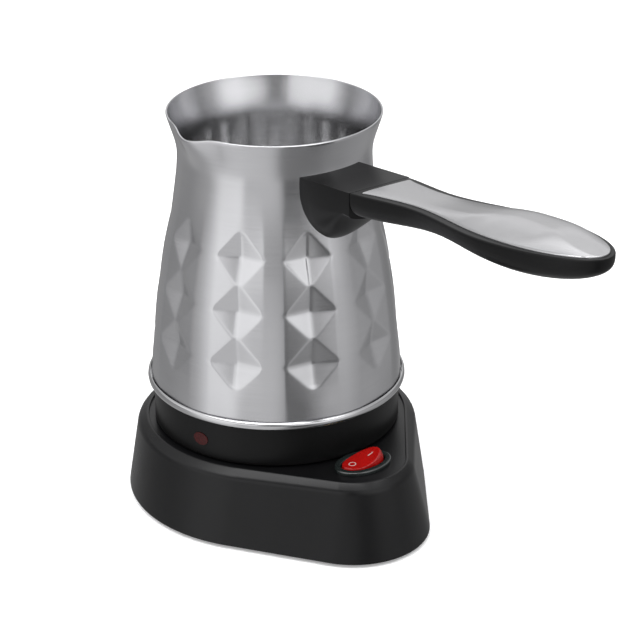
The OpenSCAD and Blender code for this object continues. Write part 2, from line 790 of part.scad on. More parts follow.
module handle_bracket() {
    color(steel) difference() {
        union() {
            bracket_strip(0);
            bracket_tongue(0);
        }
        translate([joint_x, 0, tongue_z - 1])
            cylinder(h = tongue_t + 2, r = screw_r + running, $fn = 24);
    }
}

module handle_shield() {
    room = 0.25;
    color(black) difference() {
        loft([for (i = [0 : shield_steps])
            shield_section(shield_in + (seam_x - shield_in) * i / shield_steps)]);
        wall_core(gap);
        bracket_strip(room);
        bracket_tongue(room);
        translate([seam_x - tenon_len - gap, -tenon_w - gap, tenon_z - gap])
            cube([tenon_len + 2, 2 * (tenon_w + gap), tenon_t + 2 * gap]);
        translate([joint_x, 0, foot_z + shield_low]) {
            cylinder(h = tongue_z + tongue_t + 1 - foot_z - shield_low, r = screw_r + fit, $fn = 24);
            cylinder(h = tenon_z - joint_web - foot_z - shield_low, r = head_r + fit, $fn = 32);
        }
    }
}

module handle_screw() {
    z = tenon_z - joint_web - head_h;
    color(steel) translate([joint_x, 0, z])
        screw(screw_r, tongue_z + tongue_t - z + 0.5, head_r, head_h);
}

// ------------------------------------------------------------ base mouldings

shoulder_big = base_r - base_draft;
shoulder_small = corner_r - corner_draft;
edge_big = shoulder_big - bevel_w;
edge_small = shoulder_small - bevel_w * 0.7;
deck_inset = 0.9;
round_n = 64;
corner_n = 24;

// The base's drop outline at height z, clockwise seen from above and inset by i: its
// round end has the radius big and its corner the radius small
function drop(z, big, small, i = 0) = let (a = acos((big - small) / corner_x))
    concat([for (k = [0 : corner_n]) [corner_x, 0, z] + polar(small - i, a - 2 * a * k / corner_n)],
        [for (k = [0 : round_n]) polar(big - i, -a - (360 - 2 * a) * k / round_n, z)]);

// Screw bosses beside the round end and on the two straight sides
cover_boss_r = 3.5;
cover_pad_h = 1.6;
screw_hold = 9.4;
boss_ring = shoulder_big - base_t - cover_boss_r - 1;
side_az = acos((shoulder_big - shoulder_small) / corner_x);
cover_bosses = [for (s = [-1, 1]) each [polar(boss_ring, s * 142),
    polar(boss_ring, s * side_az) + polar(5, s * (side_az - 90))]];
cover_top = base_z + cover_t;

feet = [[corner_x + 14, 0, 0], polar(base_r - 14.7, 100), polar(base_r - 14.7, -100),
    polar(base_r - 14.7, 180)];
foot_pad_r = 5.5;
foot_recess = 0.8;

hub_roof_t = 3.1;
hub_under = hub_z - hub_roof_t;
coupling_flange_r = tower_r + 8;
coupling_flange_t = 2.4;
coupling_pcd = tower_r + 4.5;
coupling_az = [60, 180, 300];
coupling_low = hub_under - coupling_flange_t;

gland_r = cord_bore_r + 2.5;
gland_flange_r = gland_r + 2.1;
gland_up = 2.5;
gland_z = cover_top + gland_up + gland_flange_r;
gland_flange_t = 1.8;
gland_seat = shoulder_big + 0.2;
gland_inner = gland_seat - 5.3;
gland_lip_t = 1.5;

clamp_room = 3.9;
clamp_post_r = 3;
clamp_x = gland_lip_t + clamp_room + clamp_post_r + 1 - gland_inner;
clamp_y = cord_bore_r + clamp_post_r + 2.1;
clamp_z = gland_z - cord_bore_r - 0.2;
clamp_t = 3;
rib_t = 2;

switch_body_w = rocker_w + 2;
switch_body_l = rocker_l + 2;
switch_depth = 13;
switch_hole_gap = 0.2;

module base_housing() {
    color(black) difference() {
        union() {
            difference() {
                loft([drop(base_z, base_r, corner_r), drop(shoulder_z, shoulder_big, shoulder_small),
                    drop(base_top, edge_big, edge_small)]);
                loft([drop(base_z - 1, base_r, corner_r, base_t), drop(base_z, base_r, corner_r, base_t),
                    drop(roof_z, shoulder_big, shoulder_small, base_t)]);
                loft([drop(deck_z, edge_big, edge_small, deck_inset),
                    drop(base_top + 1, edge_big, edge_small, deck_inset)]);
            }
            translate([0, 0, roof_z]) cylinder(h = hub_z - roof_z, r = hub_r, $fn = 96);
            for (p = cover_bosses) translate(p + [0, 0, cover_top + cover_pad_h])
                cylinder(h = roof_z - cover_top - cover_pad_h + 1, r = cover_boss_r, $fn = 32);
            for (s = [-1, 1]) translate([clamp_x, s * clamp_y, clamp_z])
                cylinder(h = roof_z - clamp_z + 1, r = clamp_post_r, $fn = 32);
            translate([clamp_x - rib_t / 2, -clamp_y, gland_z + cord_bore_r + 0.2])
                cube([rib_t, 2 * clamp_y, roof_z - gland_z - cord_bore_r + 0.8]);
            translate([-gland_inner, 0, gland_z]) rotate([0, -90, 0])
                cylinder(h = 4, r = gland_flange_r + 2, $fn = 64);
        }
        // Room for the coupling's flange, its tower and its screws
        translate([0, 0, roof_z - 1])
            cylinder(h = hub_under - roof_z + 1, r = hub_r - base_t, $fn = 96);
        translate([0, 0, hub_under - 1]) cylinder(h = hub_roof_t + 2, r = tower_r + gap, $fn = 96);
        for (a = coupling_az) translate(polar(coupling_pcd, a, hub_under - 1))
            cylinder(h = 1 + hub_roof_t - 0.7, r = small_screw_r + running, $fn = 24);
        for (p = cover_bosses) translate(p + [0, 0, base_z])
            cylinder(h = 16, r = screw_r + running, $fn = 24);
        for (s = [-1, 1]) translate([clamp_x, s * clamp_y, clamp_z - 1])
            cylinder(h = 10, r = screw_r + running, $fn = 24);
        // Seat and hole for the gland
        translate([-gland_seat, 0, gland_z]) rotate([0, -90, 0])
            cylinder(h = 10, r = gland_flange_r + fit, $fn = 64);
        translate([-gland_inner + 1, 0, gland_z]) rotate([0, -90, 0])
            cylinder(h = 12, r = gland_r + fit, $fn = 64);
        // Hole for the switch
        translate([switch_x, 0, roof_z - 1])
            oval(switch_body_w + switch_hole_gap, switch_body_l + switch_hole_gap, base_t + 4);
    }
}

module base_cover() {
    inset = base_t + gap + 0.4;
    color(black) difference() {
        union() {
            translate([0, 0, base_z]) linear_extrude(cover_t)
                polygon([for (p = drop(0, base_r, corner_r, inset)) [p[0], p[1]]]);
            for (p = cover_bosses) translate(p + [0, 0, base_z])
                cylinder(h = cover_t + cover_pad_h, r = cover_boss_r + 1, $fn = 32);
        }
        for (p = cover_bosses) translate(p + [0, 0, base_z - 1]) {
            cylinder(h = cover_t + cover_pad_h + 2, r = screw_r + fit, $fn = 24);
            cylinder(h = 1 + head_h + fit, r = head_r + fit, $fn = 32);
        }
        for (p = feet) translate(p + [0, 0, base_z - 1])
            cylinder(h = 1 + foot_recess, r = foot_pad_r + fit, $fn = 48);
    }
}

module rubber_feet() {
    bevel = 0.5;
    color(grey) for (p = feet) translate(p) {
        cylinder(h = bevel, r1 = foot_pad_r - bevel, r2 = foot_pad_r, $fn = 48);
        translate([0, 0, bevel])
            cylinder(h = base_z + foot_recess - bevel, r = foot_pad_r, $fn = 48);
    }
}

module cover_screws() {
    color(steel) for (p = cover_bosses) translate(p + [0, 0, base_z + fit])
        screw(screw_r, cover_t + cover_pad_h + screw_hold, head_r, head_h);
}

// ------------------------------------------------------------ coupling in the base

tower_top = recess_z - 1.2;
contact_t = 0.8;
contact_room = 0.1;
contact_az = 35;
slot_z = recess_z - blade_h - 1.4;
contact_w = 4.8;
contact_low = coupling_low - 9;
live_contact_az = 20;
neutral_contact_az = -60;
sleeve_r = earth_r + slide + 1.2;
cap_stem_r = 3.95;
cap_stem_h = 4.9;
cap_head_h = 0.8;
earth_tab_t = 0.8;

// Inner face of the contact strip that reaches for a ring of radius r
function contact_r(r) = r + blade_t / 2 + slide;

// Slot for a contact ring and the strip beside it
module ring_slot(r) {
    translate([0, 0, slot_z]) tube(contact_r(r) + contact_t + contact_room,
        r - blade_t / 2 - slide, tower_top - slot_z + 1);
}

// The strip's tab, down through the coupling, grown by g
module contact_tab(r, az, g) {
    rotate([0, 0, az]) translate([contact_r(r) - g, -contact_w / 2 - g, contact_low - g])
        cube([contact_t + 2 * g, contact_w + 2 * g, slot_z + 1.2 - contact_low + 2 * g]);
}

module coupling_body() {
    color(white) difference() {
        union() {
            translate([0, 0, coupling_low])
                cylinder(h = tower_top - coupling_low, r = tower_r, $fn = 96);
            translate([0, 0, coupling_low])
                cylinder(h = coupling_flange_t, r = coupling_flange_r, $fn = 96);
        }
        ring_slot(live_r);
        ring_slot(neutral_r);
        contact_tab(live_r, live_contact_az, fit);
        contact_tab(neutral_r, neutral_contact_az, fit);
        translate([0, 0, coupling_low - 1])
            cylinder(h = tower_top - coupling_low + 2, r = sleeve_r + fit, $fn = 48);
        translate([0, 0, tower_top - cap_stem_h - gap])
            cylinder(h = cap_stem_h + 2, r = cap_stem_r + running, $fn = 48);
        for (a = coupling_az) translate(polar(coupling_pcd, a, coupling_low - 1))
            cylinder(h = coupling_flange_t + 2, r = small_screw_r + fit, $fn = 24);
    }
}

// Contact strip with its tab
module contact(r, az) {
    color(brass) {
        translate([0, 0, slot_z + 0.4]) rotate([0, 0, az - contact_az])
            rotate_extrude(angle = 2 * contact_az, $fn = 96)
                translate([contact_r(r), 0]) square([contact_t, tower_top - slot_z - 1.4]);
        contact_tab(r, az, 0);
    }
}

module live_contact() {
    contact(live_r, live_contact_az);
}

module neutral_contact() {
    contact(neutral_r, neutral_contact_az);
}

module earth_contact() {
    low = coupling_low - 1.5;
    color(brass) {
        translate([0, 0, low])
            tube(sleeve_r, earth_r + slide, tower_top - cap_stem_h - 2 * gap - low, 48);
        translate([-2, sleeve_r - earth_tab_t - 0.1, contact_low])
            cube([4, earth_tab_t, low - contact_low + 1]);
    }
}

module coupling_screws() {
    color(steel) for (a = coupling_az)
        translate(polar(coupling_pcd, a, coupling_low - small_head_h))
            screw(small_screw_r, small_head_h + coupling_flange_t + 2, small_head_r, small_head_h);
}

// Round cap in the tower's bore; it turns with the pot, which lifts off it
module coupling_cap() {
    head_r = neutral_r - blade_t / 2 - slide - 1;
    color(grey) difference() {
        union() {
            translate([0, 0, tower_top + running]) cylinder(h = cap_head_h, r = head_r, $fn = 48);
            translate([0, 0, tower_top - cap_stem_h])
                cylinder(h = cap_stem_h + cap_head_h, r = cap_stem_r, $fn = 48);
        }
        translate([0, 0, tower_top - cap_stem_h - 1])
            cylinder(h = cap_stem_h + cap_head_h + 2, r = earth_r + slide, $fn = 48);
    }
}

// ------------------------------------------------------------ switch

rocker_gap = 0.35;
axle_r = 1.2;
axle_l = rocker_w + 1.7;
pivot_z = deck_z - 0.6;
frame_low = deck_z - switch_depth;
frame_floor = frame_low + 2.8;
dish_r = 30;
rocker_low = 3.5;
post_r = 2;
post_low = 7;
plunger_r = 1;
plunger_low = 8.2;
terminal_y = [-6.2, 0, 6.2];
terminal_t = 0.8;
terminal_w = 4;
terminal_low = frame_low - 8;

module switch_frame() {
    crown = 0.5;
    color(grey) translate([switch_x, 0, 0]) difference() {
        union() {
            translate([0, 0, deck_z]) oval(bezel_w, bezel_l, bezel_h - crown);
            hull() {
                translate([0, 0, deck_z + bezel_h - crown - eps]) oval(bezel_w, bezel_l, eps);
                translate([0, 0, deck_z + bezel_h - eps])
                    oval(bezel_w - crown, bezel_l - crown, eps);
            }
            translate([0, 0, frame_low]) oval(switch_body_w, switch_body_l, switch_depth + 0.5);
        }
        translate([0, 0, frame_floor])
            oval(rocker_w + rocker_gap, rocker_l + rocker_gap, switch_depth + bezel_h);
        translate([-axle_l - fit, 0, pivot_z]) rotate([0, 90, 0])
            cylinder(h = 2 * (axle_l + fit), r = axle_r + running, $fn = 32);
        for (y = terminal_y) translate([-terminal_t / 2 - fit, y - terminal_w / 2 - fit, frame_low - 1])
            cube([terminal_t + 2 * fit, terminal_w + 2 * fit, 5]);
    }
}

module switch_terminals() {
    color(brass) for (y = terminal_y)
        translate([switch_x - terminal_t / 2, y - terminal_w / 2, terminal_low])
            cube([terminal_t, terminal_w, frame_floor + fit - terminal_low]);
}

module contact_bridge() {
    color(brass) translate([switch_x - 1.5, -4.5, frame_floor + 0.2]) cube([3, 9, 0.7]);
}

// Moves what is drawn about the rocker's axle to its place at rest
module on_axle() {
    translate([switch_x, 0, pivot_z]) rotate([rocker_lean, 0, 0]) children();
}

// The rocker's sides are turned about its axle, so it never meets the frame
module switch_rocker() {
    n = 24;
    color(red) on_axle() {
        difference() {
            rotate([0, 90, 0]) rotate_extrude($fn = 96) polygon(concat(
                [[0, -rocker_w]],
                [for (i = [1 : n - 1]) let (a = -90 + 180 * i / n)
                    [rocker_l * cos(a), rocker_w * sin(a)]],
                [[0, rocker_w]]));
            translate([-rocker_w - 1, 0, rocker_h + dish_r]) rotate([0, 90, 0])
                cylinder(h = 2 * rocker_w + 2, r = dish_r, $fn = 120);
            translate([-rocker_w - 1, -rocker_l - 1, -rocker_l - 1 - rocker_low])
                cube([2 * rocker_w + 2, 2 * rocker_l + 2, rocker_l + 1]);
            translate([0, 0, -post_low]) cylinder(h = post_low - 2, r = plunger_r + running, $fn = 24);
        }
        translate([-axle_l, 0, 0]) rotate([0, 90, 0]) cylinder(h = 2 * axle_l, r = axle_r, $fn = 32);
        translate([0, 0, -post_low]) tube(post_r, plunger_r + running, post_low - rocker_low + 0.5, 32);
    }
}

module rocker_plunger() {
    color(white) on_axle() translate([0, 0, -plunger_low])
        cylinder(h = plunger_low - 2.3, r = plunger_r, $fn = 24);
}

module base_leads() {
    z = terminal_low + 3;
    tab_z = contact_low + 3;
    live_end = contact_r(live_r) + contact_t + gap;
    neutral_end = contact_r(neutral_r) + contact_t + gap;
    start_x = switch_x - terminal_t / 2 - gap;
    color(white) {
        lead(route([[start_x, terminal_y[2], z], [start_x - 5, terminal_y[2], z],
            [start_x - 17, terminal_y[2] + 3, z + 1], [live_end + 13, terminal_y[2] + 4, tab_z],
            polar(live_end + 4, live_contact_az, tab_z),
            polar(live_end, live_contact_az, tab_z)]), lead_r);
        lead(route([[start_x, terminal_y[1], z], [start_x - 5, terminal_y[1], z],
            [start_x - 17, -tower_r / 3, z + 1], [tower_r + 8, 1 - tower_r, tab_z],
            [tower_r - 4, -tower_r - 3, tab_z], polar(neutral_end + 5, neutral_contact_az, tab_z),
            polar(neutral_end, neutral_contact_az, tab_z)]), lead_r);
    }
}

// ------------------------------------------------------------ cord entry

module cord_gland() {
    color(black) translate([-gland_seat, 0, gland_z]) rotate([0, -90, 0]) difference() {
        union() {
            cylinder(h = gland_flange_t, r = gland_flange_r, $fn = 64);
            translate([0, 0, gland_inner - gland_seat - gland_lip_t])
                cylinder(h = gland_seat - gland_inner + gland_lip_t + 0.5, r = gland_r, $fn = 64);
            translate([0, 0, gland_inner - gland_seat - gland_lip_t])
                cylinder(h = gland_lip_t - fit, r = gland_r + 1, $fn = 64);
        }
        translate([0, 0, -20]) cylinder(h = 30, r = cord_bore_r, $fn = 64);
    }
}

module cord_clamp() {
    color(grey) difference() {
        translate([clamp_x, 0, clamp_z - clamp_t]) linear_extrude(clamp_t)
            hull() for (s = [-1, 1]) translate([0, s * clamp_y])
                circle(r = clamp_post_r + 1, $fn = 32);
        for (s = [-1, 1]) translate([clamp_x, s * clamp_y, clamp_z - clamp_t - 1])
            cylinder(h = clamp_t + 2, r = screw_r + fit, $fn = 24);
    }
}

module clamp_screws() {
    color(steel) for (s = [-1, 1]) translate([clamp_x, s * clamp_y, clamp_z - clamp_t - head_h])
        screw(screw_r, head_h + clamp_t + 7, head_r, head_h);
}

// ------------------------------------------------------------ the whole object

// Shifts the origin from the pot's axis to the middle of the footprint
module seated() {
    translate([-(grip_end - base_r) / 2, 0, 0]) children();
}

seated() pot_body();
seated() pot_floor();
seated() trim_ring();
seated() collar_seal();
seated() heat_spreader();
seated() heating_element();
seated() element_pins();
seated() thermostat();
seated() thermal_fuse();
seated() pot_leads();
seated() upper_connector();
seated() live_ring();
seated() neutral_ring();
seated() earth_pin();
seated() connector_screws();
seated() floor_studs();
seated() collar();
seated() collar_screws();
seated() indicator_lens();
seated() indicator_lamp();
seated() lamp_leads();
seated() handle_bracket();
seated() handle_shield();
seated() handle_grip();
seated() handle_insert();
seated() handle_screw();
seated() base_housing();
seated() base_cover();
seated() rubber_feet();
seated() cover_screws();
seated() coupling_body();
seated() live_contact();
seated() neutral_contact();
seated() earth_contact();
seated() coupling_screws();
seated() coupling_cap();
seated() switch_frame();
seated() switch_terminals();
seated() contact_bridge();
seated() switch_rocker();
seated() rocker_plunger();
seated() base_leads();
seated() cord_gland();
seated() cord_clamp();
seated() clamp_screws();
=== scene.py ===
"""Looks of the electric coffee pot: finer meshes for the pot, the base, the switch and
the handle, a procedural material on every piece, a pale floor, soft studio light and
the camera. Lengths are millimetres about the pot's axis, as in the part's own source;
piece() turns them into metres in the row frame."""

import math

import bmesh
import bpy
import numpy as np
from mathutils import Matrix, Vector


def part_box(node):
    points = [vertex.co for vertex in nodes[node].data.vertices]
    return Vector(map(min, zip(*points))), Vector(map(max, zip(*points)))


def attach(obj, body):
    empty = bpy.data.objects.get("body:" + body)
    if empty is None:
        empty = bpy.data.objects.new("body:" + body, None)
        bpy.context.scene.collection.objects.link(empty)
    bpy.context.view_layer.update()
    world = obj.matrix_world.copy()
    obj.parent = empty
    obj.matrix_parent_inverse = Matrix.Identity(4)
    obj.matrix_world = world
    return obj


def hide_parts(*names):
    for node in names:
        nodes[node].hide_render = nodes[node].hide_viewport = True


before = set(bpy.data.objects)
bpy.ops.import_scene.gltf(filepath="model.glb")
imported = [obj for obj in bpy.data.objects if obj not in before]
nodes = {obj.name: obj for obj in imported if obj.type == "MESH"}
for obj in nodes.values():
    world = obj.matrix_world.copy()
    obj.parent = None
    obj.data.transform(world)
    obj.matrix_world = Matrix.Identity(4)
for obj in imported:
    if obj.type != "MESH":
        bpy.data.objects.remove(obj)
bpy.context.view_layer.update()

ring_lo, ring_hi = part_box("trim_ring")
AXIS_X = (ring_lo.x + ring_hi.x) / 2

# ---------------------------------------------------------------- sizes, as in the source

WALL_H, WALL_T, FOOT_Z = 107.8, 0.8, 48.2
FOOT_R, SHOULDER_R, NECK_R, RIM_R = 48.7, 43.0, 36.6, 40.5
SHOULDER_H, NECK_H = 54.5, 92.0
FOOT_SLOPE, SHOULDER_SLOPE, RIM_SLOPE = -0.03, -0.2, 0.25
COLS, ROWS, EMBOSS_H, EMBOSS_Z, DEPTH = 10, 3, 20.0, 13.7, 2.2
EMBOSS_SHARE, PANEL_FLAT, PANEL_FOOT, PANEL_START = 0.68, 0.7, 0.35, 5
PITCH = 360 / COLS
DIMPLE_HALF = PITCH * EMBOSS_SHARE / 2
EMBOSS_TOP = EMBOSS_Z + ROWS * EMBOSS_H
LIP_AZ, LIP_HALF, LIP_H, LIP_OUT, LIP_DIP = 276, 20, 24, 2.4, 1.8
FLOOR_TOP, FLOOR_T, FLOOR_R, FLANGE_DROP = 56.8, 0.8, 46.95, 6.0
RING_Z, RING_H, RING_R, RING_LIP_T = 47.1, 3.2, 50.0, 0.8

SEAM_X, GRIP_LEN, HANDLE_H, TILT = 64.0, 116.5, 97.7, math.tan(math.radians(6.4))
SEAM_W, WAIST_W, WAIST_X, PALM_W, PALM_X = 13.3, 10.6, 29.0, 16.2, 74.0
SEAM_T, WAIST_T, PALM_T = 11.5, 8.6, 11.5
HANDLE_Z, GRIP_END = FOOT_Z + HANDLE_H, SEAM_X + GRIP_LEN
RIM_W, DOME_H, SHIELD_H = 1.7, 3.1, 28.2

BASE_Z, BASE_TOP, SHOULDER_Z, DECK_Z, ROOF_Z = 1.5, 31.5, 28.7, 30.7, 28.3
BASE_R, CORNER_R, CORNER_X, BASE_T = 58.7, 29.8, 49.8, 2.4
BASE_DRAFT, CORNER_DRAFT, BEVEL, CORNER_BEVEL = 4.2, 6.6, 3.4, 2.38
SHOULDER_BIG, SHOULDER_SMALL = BASE_R - BASE_DRAFT, CORNER_R - CORNER_DRAFT
EDGE_BIG, EDGE_SMALL = SHOULDER_BIG - BEVEL, SHOULDER_SMALL - CORNER_BEVEL
DECK_INSET, HUB_R, HUB_Z, HUB_UNDER, BORE_R = 0.9, 30.0, 33.9, 30.8, 16.3
GLAND_Z, GLAND_SEAT_X, GLAND_SEAT_R, GLAND_HOLE_R = 14.0, -54.7, 8.1, 6.0

SWITCH_X, BEZEL_L, BEZEL_W, BEZEL_H = 56.0, 12.0, 8.0, 1.5
SWITCH_HOLE_W, SWITCH_HOLE_L, FRAME_W, FRAME_L = 7.4, 11.4, 7.2, 11.2
OPENING_W, OPENING_L, FRAME_LOW, FRAME_FLOOR = 5.55, 9.55, 17.7, 20.5
ROCKER_L, ROCKER_W, ROCKER_H, ROCKER_UNDER, DISH_R, LEAN = 9.2, 5.2, 3.0, 3.4, 30.0, 11.0
PIVOT_Z, AXLE_BORE_R, AXLE_BORE_HALF = 30.1, 1.25, 7.0

# ---------------------------------------------------------------- mesh helpers


def smooth(t):
    """From 0 to 1 without a corner while t goes from 0 to 1."""
    t = np.clip(t, 0, 1)
    return t * t * (3 - 2 * t)


def soft_abs(x, e):
    """The size of x, with the corner at 0 rounded over about e."""
    return np.sqrt(x * x + e * e) - e


def cubic(z, z0, r0, s0, z1, r1, s1):
    """A curve from r0 with slope s0 at z0 to r1 with slope s1 at z1."""
    t, h = (z - z0) / (z1 - z0), z1 - z0
    return (
        (2 * t**3 - 3 * t**2 + 1) * r0
        + (t**3 - 2 * t**2 + t) * h * s0
        + (3 * t**2 - 2 * t**3) * r1
        + (t**3 - t**2) * h * s1
    )


def turns(n):
    """Even steps round a full turn, in radians."""
    return np.radians(np.arange(n) * 360 / n)


def loops_to_mesh(loops, closed=False, caps=False):
    """Quads between loops of equal length, each loop closed on itself."""
    m, n = len(loops[0]), len(loops)
    verts = [tuple(p) for loop in loops for p in loop]
    faces = []
    for i in range(n if closed else n - 1):
        for j in range(m):
            a, b = i * m + j, i * m + (j + 1) % m
            c, d = (i + 1) % n * m + (j + 1) % m, (i + 1) % n * m + j
            faces.append((a, b, c, d))
    if caps:
        faces.append(tuple(range(m - 1, -1, -1)))
        faces.append(tuple((n - 1) * m + j for j in range(m)))
    return verts, faces


def lathe(profile, n=200):
    """A closed profile of (r, z) turned about the pot's axis."""
    loops = [[(r * math.cos(a), r * math.sin(a), z) for a in turns(n)] for r, z in profile]
    return loops_to_mesh(loops, closed=True)


def fillets(keys):
    """A line of key points, each with a last value that says how far from it its corner
    starts to be rounded, up to 0.45 of the way to the next point."""
    keys = [np.array(k, float) for k in keys]
    out = []
    for i, key in enumerate(keys):
        p, d = key[:-1], key[-1]
        if d == 0 or i in (0, len(keys) - 1):
            out.append(p)
            continue
        before, after = keys[i - 1][:-1] - p, keys[i + 1][:-1] - p
        a = p + before * min(0.45, d / np.linalg.norm(before))
        b = p + after * min(0.45, d / np.linalg.norm(after))
        for t in np.linspace(0, 1, 6):
            out.append((1 - t) ** 2 * a + 2 * t * (1 - t) * p + t**2 * b)
    return out


MERGE = 1e-5  # metres; points nearer to each other than this become one


def piece(name, mesh, material, body, stands_for=(), angle=32, tidy=True):
    """A piece from points in millimetres about the pot's axis, shaded smooth up to angle
    degrees; tidy merges points that meet and turns the faces outwards."""
    verts, faces = mesh
    data = bpy.data.meshes.new(name)
    shift = AXIS_X * 1000
    data.from_pydata([((x + shift) / 1000, y / 1000, z / 1000) for x, y, z in verts], [], faces)
    bm = bmesh.new()
    bm.from_mesh(data)
    if tidy:
        bmesh.ops.remove_doubles(bm, verts=bm.verts, dist=MERGE)
        bmesh.ops.dissolve_degenerate(bm, edges=bm.edges, dist=MERGE)
        bmesh.ops.recalc_face_normals(bm, faces=bm.faces)
    bm.to_mesh(data)
    bm.free()
    obj = bpy.data.objects.new(name, data)
    bpy.context.scene.collection.objects.link(obj)
    obj.data.materials.append(material)
    set_sharp(obj, angle)
    if body:
        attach(obj, body)
    if stands_for:
        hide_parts(*stands_for)
    return obj


def set_sharp(obj, angle):
    """Shades smooth, with the edges that turn by angle degrees or more kept sharp."""
    bm = bmesh.new()
    bm.from_mesh(obj.data)
    limit = math.radians(angle)
    for face in bm.faces:
        face.smooth = True
    for edge in bm.edges:
        edge.smooth = len(edge.link_faces) == 2 and edge.calc_face_angle(0) < limit
    bm.to_mesh(obj.data)
    bm.free()


def cut(obj, mesh, angle):
    """Takes a mesh away from a piece, then shades the piece again."""
    cutter = piece("cutter", mesh, obj.data.materials[0], None)
    mod = obj.modifiers.new("cut", "BOOLEAN")
    mod.object, mod.operation, mod.solver = cutter, "DIFFERENCE", "EXACT"
    apply_all(obj)
    bpy.data.objects.remove(cutter)
    set_sharp(obj, angle)


def apply_all(obj):
    """Bakes the piece's modifiers into its mesh."""
    bpy.context.view_layer.update()
    graph = bpy.context.evaluated_depsgraph_get()
    data = bpy.data.meshes.new_from_object(obj.evaluated_get(graph))
    obj.modifiers.clear()
    obj.data = data


def round_edges(obj, width, angle, segments):
    """Rounds the edges that turn by more than angle degrees, width millimetres to each side."""
    mod = obj.modifiers.new("round", "BEVEL")
    mod.width, mod.segments, mod.limit_method = width / 1000, segments, "ANGLE"
    mod.angle_limit = math.radians(angle)
    mod.miter_outer = "MITER_ARC"
    apply_all(obj)
    set_sharp(obj, 50)


def oval_prism(x, w, l, z0, z1, n=96):
    """An upright oval block, w to each side along X and l along Y."""
    loops = [[(x + w * math.cos(a), l * math.sin(a), z) for a in turns(n)] for z in (z0, z1)]
    return loops_to_mesh(loops, caps=True)


def bar_x(x0, x1, z, r, n=48):
    """A round bar along X, at y = 0."""
    loops = [[(x, r * math.cos(a), z + r * math.sin(a)) for a in turns(n)] for x in (x0, x1)]
    return loops_to_mesh(loops, caps=True)


# ---------------------------------------------------------------- materials


def shader(name, color, metallic, rough, **sockets):
    """A Principled material; sockets are named with _ for each space."""
    mat = bpy.data.materials.new(name)
    mat.use_nodes = True
    tree = mat.node_tree
    bsdf = tree.nodes["Principled BSDF"]
    bsdf.inputs["Base Color"].default_value = (*color, 1)
    bsdf.inputs["Metallic"].default_value = metallic
    bsdf.inputs["Roughness"].default_value = rough
    for socket, value in sockets.items():
        bsdf.inputs[socket.replace("_", " ")].default_value = value
    return mat, tree, bsdf


EVEN = (1, 1, 1)


def noise(tree, scale, stretch, detail, rough=0.55):
    """Noise over the piece's own coordinates in metres; stretch gives the scale along each axis."""
    coords = tree.nodes.new("ShaderNodeTexCoord")
    mapping = tree.nodes.new("ShaderNodeMapping")
    mapping.inputs["Scale"].default_value = stretch
    node = tree.nodes.new("ShaderNodeTexNoise")
    node.inputs["Scale"].default_value = scale
    node.inputs["Detail"].default_value = detail
    node.inputs["Roughness"].default_value = rough
    tree.links.new(coords.outputs["Object"], mapping.inputs["Vector"])
    tree.links.new(mapping.outputs["Vector"], node.inputs["Vector"])
    return node.outputs["Fac"]


def spread(tree, value, low, high, start=0.3, end=0.7, kind="LINEAR"):
    """A number from low to high while value goes from start to end."""
    node = tree.nodes.new("ShaderNodeMapRange")
    node.interpolation_type = kind
    node.inputs["From Min"].default_value = start
    node.inputs["From Max"].default_value = end
    node.inputs["To Min"].default_value = low
    node.inputs["To Max"].default_value = high
    tree.links.new(value, node.inputs["Value"])
    return node.outputs["Result"]


def tint(tree, value, dark, light, start=0.3, end=0.7):
    """A colour from dark to light while value goes from start to end."""
    node = tree.nodes.new("ShaderNodeValToRGB")
    node.color_ramp.elements[0].position = start
    node.color_ramp.elements[0].color = (*dark, 1)
    node.color_ramp.elements[1].position = end
    node.color_ramp.elements[1].color = (*light, 1)
    tree.links.new(value, node.inputs["Fac"])
    return node.outputs["Color"]


def bump(tree, bsdf, value, distance):
    """Raises the surface by value times distance, in millimetres."""
    node = tree.nodes.new("ShaderNodeBump")
    node.inputs["Strength"].default_value = 1.0
    node.inputs["Distance"].default_value = distance / 1000
    tree.links.new(value, node.inputs["Height"])
    tree.links.new(node.outputs["Normal"], bsdf.inputs["Normal"])


def mixed(tree, a, b, factor=None):
    """Colour a turned into b by factor, or the product of the two without one."""
    node = tree.nodes.new("ShaderNodeMix")
    node.data_type = "RGBA"
    if factor is None:
        node.blend_type = "MULTIPLY"
        node.inputs["Factor"].default_value = 1.0
    else:
        tree.links.new(factor, node.inputs["Factor"])
    tree.links.new(a, node.inputs[6])
    if isinstance(b, tuple):
        node.inputs[7].default_value = (*b, 1)
    else:
        tree.links.new(b, node.inputs[7])
    return node.outputs[2]


def brushed_steel(name, color, rough, aniso, lines, stretch, depth, turned=True):
    """Steel with brush lines: high scale across the lines, low along them. Turned steel
    takes the direction of its streaked reflections from the pot's axis."""
    mat, tree, bsdf = shader(name, color, 1.0, rough, Anisotropic=aniso)
    fine = noise(tree, lines, stretch, 3, 0.6)
    broad = noise(tree, 28, EVEN, 2)
    c = np.array(color)
    base = tint(tree, fine, c * 0.965, np.minimum(c * 1.03, 1), 0.25, 0.75)
    base = mixed(tree, base, tint(tree, broad, (0.93, 0.93, 0.935), (1, 1, 1)))
    tree.links.new(base, bsdf.inputs["Base Color"])
    tree.links.new(spread(tree, fine, rough - 0.02, rough + 0.03), bsdf.inputs["Roughness"])
    bump(tree, bsdf, fine, depth)
    if turned:
        tangent = tree.nodes.new("ShaderNodeTangent")
        tangent.direction_type, tangent.axis = "RADIAL", "Z"
        tree.links.new(tangent.outputs["Tangent"], bsdf.inputs["Tangent"])
        bsdf.inputs["Anisotropic Rotation"].default_value = 0.25
    return mat


